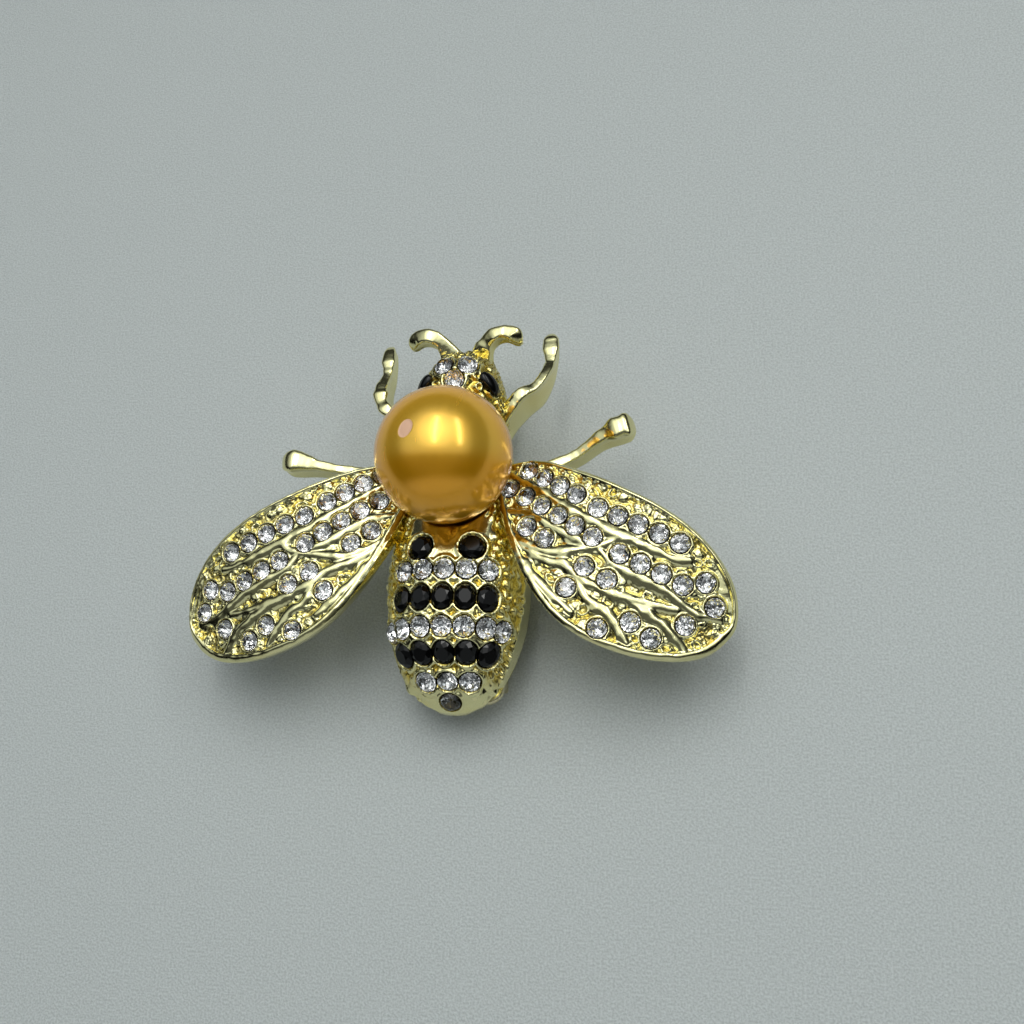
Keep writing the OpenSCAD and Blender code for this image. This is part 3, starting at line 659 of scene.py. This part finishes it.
def wing_surface(name, field, mirrored, seed):
    """A wing as a loft of closed sections: relief on top, a rounded edge, and a plain underside."""
    edge = spline(WING * [wing_len, wing_front, wing_rear], 400)
    share = 1 - (1 - np.linspace(0, 1, wing_rows)) ** 1.5
    along = edge[0, 0] + (edge[-1, 0] - edge[0, 0]) * share
    front = np.interp(along, edge[:, 0], edge[:, 1])[:, None]
    rear = np.interp(along, edge[:, 0], edge[:, 2])[:, None]
    along = along[:, None]
    v = np.linspace(0, 1, wing_columns)[None]
    b = rear + (front - rear) * (v - 0.04 * np.sin(2 * np.pi * v))
    a = along + 0 * b
    turned = [-1, 1, 1] if mirrored else [1, 1, 1]
    relief, recess = wing_relief(a, b, wing_world(a, b, 0) * turned, edge, field, seed)
    width = front - rear
    under = wing_plate * (1 + root_swell * np.clip(1 - along / wing_len, 0, 1) ** 3)
    draft = np.minimum(wall_draft, width * 0.3)
    bulge = np.minimum(wall_bulge, width * 0.02)
    down = np.linspace(0, 1, 12)[None, 1:]
    up = down[:, ::-1]

    def wall(edge_b, outwards, sill, t):
        """One wall by the share t of its drop: it bulges outwards, then slopes in to the underside."""
        off = outwards * (bulge * np.sin(np.pi * t) - draft * t ** wall_curve)
        z = sill + (-under - sill) * (1 - np.cos(np.pi / 2 * t) ** 1.2)
        return edge_b + off, z, t ** wall_curve + 0 * off

    wall_b, wall_z, wall_low = wall(front, 1, relief[:, -1:], down)
    rise_b, rise_z, rise_low = wall(rear, -1, relief[:, :1], up)
    floor_b = (rear + draft) + (width - 2 * draft) * np.linspace(1, 0, 40)[None, 1:-1]
    middle_off = (floor_b - (front + rear) / 2) / np.maximum(width * dent_share, 0.05)
    dent = dent_h * step(along / wing_len, 0.02, 0.1) * np.clip(1 - middle_off ** 4, 0, 1)
    low = np.concatenate([0 * b, wall_low, 1 + 0 * floor_b, rise_low], 1)
    loop_a = along - tip_tuck * step(along, 0.96 * wing_len, wing_len) * low
    loop_b = np.concatenate([b, wall_b, floor_b, rise_b], 1)
    loop_z = np.concatenate([relief, wall_z, dent - under, rise_z], 1)
    loop = below_pearl(wing_world(loop_a, loop_b, loop_z)) * turned
    mark = np.concatenate([recess, 0.04 + 0 * wall_b, PLAIN + 0 * floor_b, 0.04 + 0 * rise_b], 1)
    return grid_mesh(name, loop, recess=mark)


for name, mirrored, seed in (("right_wing", False, 31), ("left_wing", True, 61)):
    wing = wing_surface(name, stones[name + "_stones"], mirrored, seed)
    finish_piece(name, wing, [gold_plate], "casting")

# Legs and antennae
# Four legs and two antennae are cast on edge as flat ribbons with a rounded, polished
# top. They swell at the knees and end in small paddles.
leg_w = 0.9
leg_depth = 2
front_reach = 14.9
side_reach = 16.3
# Columns: share of the side reach, share of the front reach, height of the top as a share
# of the crest's, width as a share of the leg's, depth as a share of the ribbon's
RIBBONS = {
    "right_front_leg": [
        [0.16, 0.29, 0.58, 1.4, 1.5], [0.32, 0.49, 0.80, 1.2, 2.2], [0.41, 0.57, 0.74, 1.0, 1.9],
        [0.46, 0.68, 0.66, 0.9, 1.5], [0.475, 0.78, 0.57, 1.1, 1.1], [0.47, 0.90, 0.53, 1.5, 1.0],
        [0.465, 1.00, 0.48, 0.9, 0.7]],
    "left_front_leg": [
        [-0.16, 0.29, 0.58, 1.4, 1.5], [-0.40, 0.42, 0.76, 1.1, 2.1], [-0.47, 0.50, 0.76, 1.3, 1.8],
        [-0.49, 0.61, 0.72, 1.4, 1.5], [-0.475, 0.74, 0.60, 0.9, 1.2], [-0.485, 0.86, 0.56, 1.4, 1.0],
        [-0.49, 0.97, 0.47, 0.9, 0.7]],
    "right_middle_leg": [
        [0.18, 0.00, 0.53, 1.3, 1.3], [0.36, 0.04, 0.52, 1.2, 1.3], [0.50, 0.10, 0.45, 1.1, 1.2],
        [0.64, 0.17, 0.45, 1.0, 1.2], [0.77, 0.25, 0.58, 1.3, 1.3], [0.88, 0.295, 0.70, 2.2, 1.5],
        [0.965, 0.32, 0.65, 2.1, 1.2]],
    "left_middle_leg": [
        [-0.18, 0.00, 0.53, 1.3, 1.3], [-0.36, 0.04, 0.52, 1.2, 1.3], [-0.54, 0.09, 0.45, 1.1, 1.2],
        [-0.70, 0.115, 0.46, 1.0, 1.2], [-0.85, 0.135, 0.57, 1.2, 1.3], [-0.98, 0.155, 0.67, 2.2, 1.5],
        [-1.07, 0.15, 0.62, 2.0, 1.1]],
    "right_antenna": [
        [0.065, 0.75, 0.66, 2.6, 1.3], [0.10, 0.83, 0.80, 1.8, 1.2], [0.15, 0.885, 0.90, 1.3, 1.0],
        [0.22, 0.91, 0.94, 1.4, 0.9], [0.285, 0.90, 0.89, 1.5, 0.8], [0.32, 0.86, 0.80, 1.1, 0.7]],
    "left_antenna": [
        [-0.065, 0.75, 0.66, 2.6, 1.3], [-0.10, 0.83, 0.80, 1.8, 1.2], [-0.15, 0.885, 0.90, 1.3, 1.0],
        [-0.22, 0.91, 0.94, 1.4, 0.9], [-0.285, 0.90, 0.89, 1.5, 0.8], [-0.32, 0.86, 0.80, 1.1, 0.7]]}
# Half of a ribbon's section, from the middle of its polished top down the hollowed wall.
# Columns: share of the half width, drop in half widths, drop as a share of the depth
RIBBON_SIDE = np.array([
    [0, 0, 0], [0.5, 0.03, 0], [0.9, 0.16, 0], [1.08, 0.48, 0], [1.02, 0.80, 0], [0.80, 0.98, 0.04],
    [0.68, 0.9, 0.2], [0.68, 0.6, 0.55], [0.76, 0.1, 0.9], [0.62, 0, 0.99], [0.3, 0, 1], [0, 0, 1]])
root_flare = 0.9
tip_round, tip_level = 0.95, 0.45
path_steps, ribbon_rows = 500, 150


def ribbon_surface(name, table, seed):
    """A ribbon on edge swept along its curve, with a flare at its root and a rounded far end."""
    rows = spline(np.array(table) * [side_reach, front_reach, crest_h, leg_w / 2, leg_depth], path_steps)
    # Rows lie closer together towards the far end, where the tip is rounded
    eased = (path_steps - 1) * np.sin(np.linspace(0, np.pi / 2, ribbon_rows))
    rows = rows[np.unique(np.round(eased).astype(int))]
    path, half, depth = rows[:, :3], rows[:, 3:4], rows[:, 4:5]
    ahead = np.gradient(path[:, :2], axis=0)
    side = unit(np.stack([-ahead[:, 1], ahead[:, 0]], 1))
    run = run_along(path)[:, None]
    tip = np.clip((run[-1] - run) / tip_round, 0, 1)
    end = np.sqrt(np.clip(1 - (1 - tip) ** 2, 0.0004, 1))
    root = 1 - step(run, 0.4, 2.8)
    lumps = layered(ripple, run, 0 * run, [(0.10, 0.8, seed), (0.05, 0.37, seed + 7)])
    profile = spline(RIBBON_SIDE, 28, 2)
    share, own, deep = np.concatenate([profile, profile[-2:0:-1] * [-1, 1, 1]]).T[:, None]
    band = 1 - step(own * 1.2 + deep * 9, 0.8, 1.6)
    width = half * end * share * (1 + lumps * band + root_flare * root * deep)
    drop = half * end * own + depth * deep
    drop = drop + (1 - end) * (tip_level * depth - drop)
    x = path[:, :1] + side[:, :1] * width
    y = path[:, 1:2] + side[:, 1:] * width + pearl_centre[1]
    z = back_z + path[:, 2:] - drop + 0.6 * lumps * half * band
    # The hollowed walls get the plain mark, and with it part of the plating's painted shade.
    recess = PLAIN * (1 - band) * (1 - deep) + 0 * x
    return grid_mesh(name, np.stack([x, y, z], -1), recess=recess)


for k, (name, table) in enumerate(RIBBONS.items()):
    finish_piece(name, ribbon_surface(name, table, 80 + k), [gold_plate], "casting")

# Cut stones
# The crystals and the black stones are pressed glass with a flat table, kite and star
# facets, a thin girdle and a pointed back. Foil behind the clear ones throws the
# light back, and glue holds each in its seat.
TABLE_R, TABLE_Z = 0.58, 0.40
GIRDLE_TOP, GIRDLE_LOW = 0.03, -0.05
STAR_R, PAVILION_R = 0.80, 0.45
CULET_Z = -0.80
TILT = 0.035


def cut_pattern():
    """One stone of radius 1: rings of points for table, crown, girdle and back, and faces between them."""
    mains = 8
    whole = np.arange(mains) * 2 * np.pi / mains
    half = whole + np.pi / mains
    girdle = np.arange(2 * mains) * np.pi / mains
    slope = (GIRDLE_TOP - TABLE_Z) / (1 - TABLE_R)
    star_z = TABLE_Z + slope * (STAR_R * np.cos(np.pi / mains) - TABLE_R)
    low_z = CULET_Z + (GIRDLE_LOW - CULET_Z) * PAVILION_R * np.cos(np.pi / mains)

    def ring(turn, r, z):
        return np.stack([r * np.cos(turn), r * np.sin(turn), z + 0 * turn], 1)

    points = np.concatenate([ring(whole, TABLE_R, TABLE_Z), ring(half, STAR_R, star_z),
                             ring(girdle, 1, GIRDLE_TOP), ring(girdle, 1, GIRDLE_LOW),
                             ring(half, PAVILION_R, low_z), [[0, 0, CULET_Z]]])
    t, m, g, l, p, culet = 0, mains, 2 * mains, 4 * mains, 6 * mains, 7 * mains
    crown, back = [list(range(mains))], []
    for i in range(mains):
        j, k = (i + 1) % mains, (i - 1) % mains
        a, b, c = 2 * i, 2 * i + 1, (2 * i + 2) % (2 * mains)
        crown += [[t + i, m + i, t + j], [t + i, m + k, g + a, m + i],
                  [m + i, g + a, g + b], [m + i, g + b, g + c],
                  [g + a, l + a, l + b, g + b], [g + b, l + b, l + c, g + c]]
        back += [[p + i, l + b, l + a], [p + i, l + c, l + b], [culet, p + i, l + a, p + k]]
    return points, crown, back


def stones_piece(name, node, materials, turn_seed):
    """A node's stones as one mesh of the finer cut, each turned and tilted by its own small amount."""
    s = stones[node]
    points, crown, back = cut_pattern()
    rng = np.random.default_rng(turn_seed)
    count = len(s["centre"])
    turn = rng.random((count, 1)) * np.pi / 4
    x = points[:, 0] * np.cos(turn) - points[:, 1] * np.sin(turn)
    y = points[:, 0] * np.sin(turn) + points[:, 1] * np.cos(turn)
    tilt = rng.normal(0, TILT, (2, count, 1))
    z = points[:, 2] + tilt[0] * x + tilt[1] * y
    w, l = s["half_width"][:, None, None], s["half_length"][:, None, None]
    place = (s["centre"][:, None] + s["side"][:, None] * x[..., None] * w
             + s["along"][:, None] * y[..., None] * l + s["axis"][:, None] * z[..., None] * w)
    offsets = np.arange(count) * len(points)
    faces = [[v + o for v in f] for o in offsets.tolist() for f in crown + back]
    mesh = bpy.data.meshes.new(name)
    mesh.from_pydata((place.reshape(-1, 3) * MM).tolist(), [], faces)
    finish_piece(name, mesh, materials, node, smooth=False)
    foil = np.tile(np.repeat([0, 1], [len(crown), len(back)]), count)
    mesh.polygons.foreach_set("material_index", foil.astype(np.int32))


def glass_material(name, colour, transmission, rough, ior):
    """Cut glass or glossy enamel with faint smears on its faces."""
    material, tree, sockets = new_material(
        name, {"Base Color": colour, "Transmission Weight": transmission, "IOR": ior})
    smear = noise(tree, own_place(tree), 900, 2)
    connect(tree, sockets, {"Roughness": remap(tree, smear, 0.45, 0.8, rough, rough + 0.06)})
    return material


def foil_material():
    """Creased foil: cells that lean a little each way and are not equally bright."""
    material, tree, sockets = new_material("foil_back", {"Metallic": 1, "Roughness": 0.06})
    vectors = "ShaderNodeVectorMath"
    cells = add(tree, "ShaderNodeTexVoronoi", {"Vector": own_place(tree), "Scale": 3200}).outputs["Color"]
    leaning = compute(tree, "SUBTRACT", cells, (0.5, 0.5, 0.5), kind=vectors)
    facing = add(tree, "ShaderNodeNewGeometry").outputs["Normal"]
    creased = compute(tree, "MULTIPLY_ADD", leaning, (0.45, 0.45, 0.45), facing, kind=vectors)
    connect(tree, sockets, {"Base Color": remap(tree, cells, 0.1, 0.8, 0.5, 1),
                            "Normal": compute(tree, "NORMALIZE", creased, kind=vectors)})
    return material


crystal = [glass_material("crystal_glass", (1, 1, 1, 1), 1.0, 0.0, 1.6), foil_material()]
jet = [glass_material("black_glass", (0.002, 0.002, 0.002, 1), 0.0, 0.03, 1.36)] * 2
stones_piece("right_wing_crystals", "right_wing_stones", crystal, 101)
stones_piece("left_wing_crystals", "left_wing_stones", crystal, 102)
stones_piece("abdomen_crystals", "abdomen_clear_stones", crystal, 103)
stones_piece("head_crystals", "head_stones", crystal, 104)
stones_piece("abdomen_jets", "abdomen_black_stones", jet, 105)

# Pearl
# One large imitation pearl: a plastic bead with a satin golden nacre and a clear
# glossy coat, glued on the peg. A small spot is sunk, matt and pinkish, without the coat, and the coat has
# fine streaks.
# Painted light and shade on the nacre: yellow on the lit side, orange on the shaded side, and its own orange
# at the rim.
LIT_SIDE_NACRE = (0.97, 0.57, 0.055, 1)
SHADED_SIDE_NACRE = (0.95, 0.43, 0.01, 1)
RIM_NACRE = (0.97, 0.49, 0.015, 1)
SPOT = (0.88, 0.55, 0.38, 1)
spot_towards = unit(np.array([-0.294, -0.002, 0.956]))
spot_along = unit(np.array([0.106, 0.222, 0.033]))
spot_r = 0.66
spot_stretch = 0.8
coat_thick = 0.05
HEADWARDS = (0.03, 0.93, 0.35)


def ball_grid(rows, columns, squash=1):
    """Points of a ball by height and turn; squash below 1 makes the poles blunter."""
    height = np.linspace(0, np.pi, rows)[:, None]
    turn = np.linspace(0, 2 * np.pi, columns + 1)[None, :-1]
    c = np.cos(height)
    return np.stack([np.sin(height) * np.cos(turn), np.sin(height) * np.sin(turn),
                     np.sign(c) * np.abs(c) ** squash + 0 * turn], -1)


def pearl_surface():
    """A ball, slightly sunk over a small spot."""
    ball = ball_grid(190, 360)
    off = ball - spot_towards
    off = off - (1 - spot_stretch) * (off @ spot_along)[..., None] * spot_along
    off = np.linalg.norm(off, axis=-1) * pearl_r
    r = pearl_r - coat_thick * (1 - step(off, spot_r * 0.85, spot_r))
    points = pearl_centre + ball * r[..., None]
    return grid_mesh("pearl_bead", points, caps=False, spot=spot_r - off)


def pearl_material():
    """Satin nacre under a clear coat: painted light makes it yellow on the side towards the head, painted
    shade orange on the side towards the tail; orange at the rim, matt on the spot.
    """
    material, tree, sockets = new_material("golden_nacre", {
        "Specular Tint": (1, 0.62, 0.2, 1), "Coat Roughness": 0.16, "Coat IOR": 1.5})
    vectors = "ShaderNodeVectorMath"
    centred = compute(tree, "SUBTRACT", own_place(tree), tuple(pearl_centre * MM), kind=vectors)
    stretched = add(tree, "ShaderNodeMapping", {"Vector": centred, "Scale": (1, 0.16, 0.16)})
    streaks = noise(tree, stretched.outputs["Vector"], 1400, 3)
    clouds = noise(tree, centred, 150, 3)
    drift = remap(tree, clouds, 0.3, 0.7, -0.08, 0.08)
    turned = add(tree, "ShaderNodeLayerWeight", {"Blend": 0.5}).outputs["Facing"]
    warm = compute(tree, "ADD", remap(tree, turned, 0.25, 0.7), drift, use_clamp=True)
    # Painted light and shade: the side towards the head, which faces the lamps, takes the yellow colour and
    # the side towards the tail the orange one.
    headwards = compute(tree, "DOT_PRODUCT", centred, HEADWARDS, kind=vectors, output="Value")
    lit_side = remap(tree, headwards, -0.2 * pearl_r * MM, 0.15 * pearl_r * MM,
                     interpolation_type="SMOOTHSTEP")
    tone = blend(tree, warm, blend(tree, lit_side, SHADED_SIDE_NACRE, LIT_SIDE_NACRE), RIM_NACRE)
    spot = add(tree, "ShaderNodeAttribute", attribute_name="spot").outputs["Fac"]
    mask = remap(tree, compute(tree, "MULTIPLY_ADD", clouds, 0.5, spot), 0.23, 0.30)
    coat = compute(tree, "SUBTRACT", 1.0, mask)
    metal = compute(tree, "MULTIPLY", remap(tree, warm, 0, 1, 0.6, 0.42), coat)
    bump = add(tree, "ShaderNodeBump", {"Strength": 0.25, "Distance": 0.00002, "Height": streaks})
    connect(tree, sockets, {
        "Base Color": blend(tree, mask, tone, SPOT), "Metallic": metal, "Coat Weight": coat,
        "Roughness": remap(tree, streaks, 0.3, 0.7, 0.20, 0.28), "Normal": bump.outputs["Normal"]})
    return material


finish_piece("pearl_bead", pearl_surface(), [pearl_material()], "pearl")

# Eyes
# Two oval domes of black enamel on the sides of the head, smooth and very glossy. Each
# lies in its own oval seat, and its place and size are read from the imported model.
EYE_FULLNESS = np.array([1.04, 1.04, 1.0])
# A point in the head from which both eyes look outwards, from the pearl's centre
HEAD_INSIDE = np.array([0, 6, -9])


def eye_surface(name, corners):
    """An oval dome with the extents of the CAD solid: its shortest direction is the outward one."""
    middle = corners.mean(0)
    _, _, axes = np.linalg.svd(corners - middle, full_matrices=False)
    axes[2] *= np.sign(axes[2] @ (middle - pearl_centre - HEAD_INSIDE))
    spread = (corners - middle) @ axes.T
    low, high = spread.min(0), spread.max(0)
    centre = middle + ((high + low) / 2) @ axes
    dome = ball_grid(26, 48, squash=0.9) * (high - low) / 2 * EYE_FULLNESS
    return grid_mesh(name, centre + dome @ axes, caps=False)


enamel = glass_material("black_enamel", (0.002, 0.002, 0.002, 1), 0.0, 0.04, 1.4)
eye_corners = node_triangles("eyes").reshape(-1, 3)
for name, sign in (("right_eye", 1), ("left_eye", -1)):
    own = np.unique(eye_corners[eye_corners[:, 0] * sign > 0].round(4), axis=0)
    finish_piece(name, eye_surface(name, own), [enamel], "eyes")

# Pin back
# A stamped bar is soldered across the hollow. It carries a hinge block, a catch block
# and the steel pin's stem between them, all plain and lightly worn.
pin_box = np.array(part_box("pin_back")) / MM
bar_len = 24.6
bar_w = 4.8
bar_t = 0.8
bar_corner = 1.6
bar_turn = np.radians(5)
bar_middle = (0.9, -7.4)
block_w, block_len = 4.0, 3.6
block_at = 8.8
stem_d, stem_h = 0.9, 1.2
bevel_w = 0.22


def rounded_box(b, size, middle, corner=0.0):
    """A box added to a bmesh, its upright corners rounded by the given radius."""
    made = bmesh.ops.create_cube(b, size=1)["verts"]
    for vertex in made:
        vertex.co = [vertex.co[k] * size[k] + middle[k] for k in range(3)]
    if corner:
        own = [e for e in b.edges if e.verts[0] in made]
        upright = [e for e in own if abs(e.verts[0].co.z - e.verts[1].co.z) > size[2] / 2]
        bmesh.ops.bevel(b, geom=upright, offset=corner, segments=8, profile=0.5, affect="EDGES")


def pin_surface():
    """Bar, two blocks and the stem, in one mesh whose edges are then rounded by a bevel."""
    b = bmesh.new()
    bar_z = pin_box[1, 2] - bar_t / 2
    rounded_box(b, (bar_w, bar_len, bar_t), (0, 0, bar_z), bar_corner)
    for sign in (-1, 1):
        rounded_box(b, (block_w, block_len, bar_z), (0, sign * block_at, bar_z / 2))
    stem = bmesh.ops.create_cone(b, cap_ends=True, segments=24, radius1=stem_d / 2, radius2=stem_d / 2,
                                 depth=2 * block_at)["verts"]
    bmesh.ops.rotate(b, verts=stem, matrix=Matrix.Rotation(np.pi / 2, 3, "X"))
    bmesh.ops.translate(b, verts=stem, vec=(0, 0, stem_h))
    bmesh.ops.rotate(b, verts=b.verts, matrix=Matrix.Rotation(bar_turn, 3, "Z"))
    bmesh.ops.translate(b, verts=b.verts, vec=(bar_middle[0], bar_middle[1] + pearl_centre[1], 0))
    bmesh.ops.scale(b, verts=b.verts, vec=(MM, MM, MM))
    mesh = bpy.data.meshes.new("pin_bar")
    b.to_mesh(mesh)
    b.free()
    return mesh


# The pin has no depth mark, so its darker colour only comes in at random through the plating's clouds.
pin_metal = plated_metal("pin_metal", 0.22, 0.5, pale=(0.80, 0.72, 0.44, 1), deep=(0.66, 0.52, 0.22, 1))
pin_bar = finish_piece("pin_bar", pin_surface(), [pin_metal], "pin_back", smooth=False)
rounding = pin_bar.modifiers.new("rounded edges", "BEVEL")
rounding.width = bevel_w * MM
rounding.segments = 3
rounding.limit_method = "ANGLE"
rounding.harden_normals = True

# Stage, light and camera
# A pale, faintly grained table under a bright, wide studio light from above, with a
# darker side towards the viewer, which gives the polished metal its contrast.
TABLE_DARK = (0.45, 0.485, 0.48, 1)
TABLE_LIGHT = (0.58, 0.62, 0.615, 1)
camera_at = np.array([30.73, -42.38, 116.4])
camera_azimuth, camera_elevation, camera_roll = np.radians([31.5, 65.6, -30.7])
focal_share = 1350 / 1024
TABLE_REACH = 0.6
LAMP_LIFT = 40
SENSOR = 36.0


def camera_axes():
    """Right, up and back directions of the camera from its azimuth, elevation and roll."""
    back = np.array([np.sin(camera_azimuth) * np.cos(camera_elevation),
                     -np.cos(camera_azimuth) * np.cos(camera_elevation), np.sin(camera_elevation)])
    level = np.array([np.cos(camera_azimuth), np.sin(camera_azimuth), 0])
    up = np.cross(back, level)
    c, s = np.cos(camera_roll), np.sin(camera_roll)
    return c * level + s * up, -s * level + c * up, back


def standing(x, y, z, place):
    """Matrix of an object that stands at a place with the given directions as its axes."""
    matrix = np.eye(4)
    matrix[:3] = np.stack([x, y, z, place], 1)
    return Matrix(matrix.tolist())


table_mesh = bpy.data.meshes.new("table")
table_corners = [(x * TABLE_REACH, y * TABLE_REACH, 0) for x, y in ((-1, -1), (1, -1), (1, 1), (-1, 1))]
table_mesh.from_pydata(table_corners, [], [(0, 1, 2, 3)])
table = bpy.data.objects.new("table", table_mesh)
bpy.context.scene.collection.objects.link(table)
table_finish, tree, sockets = new_material("table_finish", {"Roughness": 0.55})
table_mesh.materials.append(table_finish)
speck = noise(tree, own_place(tree), 5200, 3)
grain = add(tree, "ShaderNodeBump", {"Strength": 1, "Distance": 0.0001, "Height": speck})
connect(tree, sockets, {"Base Color": blend(tree, remap(tree, speck, 0.36, 0.64), TABLE_DARK, TABLE_LIGHT),
                        "Normal": grain.outputs["Normal"]})

right, up, back = camera_axes()
camera_data = bpy.data.cameras.new("camera")
camera_data.sensor_width = SENSOR
camera_data.lens = focal_share * SENSOR
camera_data.clip_start = 0.005
camera_data.clip_end = 5
camera = bpy.data.objects.new("camera", camera_data)
bpy.context.scene.collection.objects.link(camera)
camera.matrix_world = standing(right, up, back, camera_at * MM)
bpy.context.scene.camera = camera


def towards(lift, turn):
    """Direction from the brooch: lift degrees from the camera to the picture's top, turn to its right."""
    a, b = np.radians([lift, turn])
    return unit(np.cos(b) * (np.cos(a) * back + np.sin(a) * up) + np.sin(b) * right)


def area_light(name, turn, distance, size, power, tint, spread=180):
    """A soft oblong light above the top of the picture, that faces the middle of the pearl."""
    data = bpy.data.lights.new(name, "AREA")
    data.shape = "RECTANGLE"
    data.size, data.size_y = size
    data.energy = power
    data.color = tint
    data.spread = np.radians(spread)
    lamp = bpy.data.objects.new(name, data)
    bpy.context.scene.collection.objects.link(lamp)
    z = towards(LAMP_LIFT, turn)
    x = unit(np.cross([0, 1, 0.2], z))
    lamp.matrix_world = standing(x, np.cross(z, x), z, z * distance + pearl_centre * MM)


area_light("near_lamp", -8, 0.26, (0.40, 0.30), 0.105, (1, 0.99, 0.96), spread=75)
area_light("left_strip", -10, 0.5, (0.04, 0.40), 0.26, (1, 0.99, 0.95))
area_light("right_strip", 26, 0.5, (0.04, 0.40), 0.26, (1, 0.99, 0.95))

world = bpy.data.worlds.new("studio")
bpy.context.scene.world = world
world.use_nodes = True
tree = world.node_tree
sky = add(tree, "ShaderNodeTexCoord").outputs["Generated"]
height = add(tree, "ShaderNodeSeparateXYZ", {"Vector": sky}).outputs["Z"]
ahead = compute(tree, "DOT_PRODUCT", sky, tuple(towards(90, 0)), kind="ShaderNodeVectorMath", output="Value")
ceiling = remap(tree, height, 0.35, 0.75, 0.04, 0.72, interpolation_type="SMOOTHSTEP")
viewer = remap(tree, ahead, -0.07, 0.07, 0.16, 1, interpolation_type="SMOOTHSTEP")
behind = remap(tree, ahead, -0.5, -0.75, 0, 0.45, interpolation_type="SMOOTHSTEP")
background = tree.nodes["Background"].inputs
background["Color"].default_value = (0.86, 0.93, 0.95, 1)
connect(tree, background, {"Strength": compute(tree, "MULTIPLY_ADD", ceiling, viewer, behind)})

bpy.context.scene.view_settings.view_transform = "Standard"
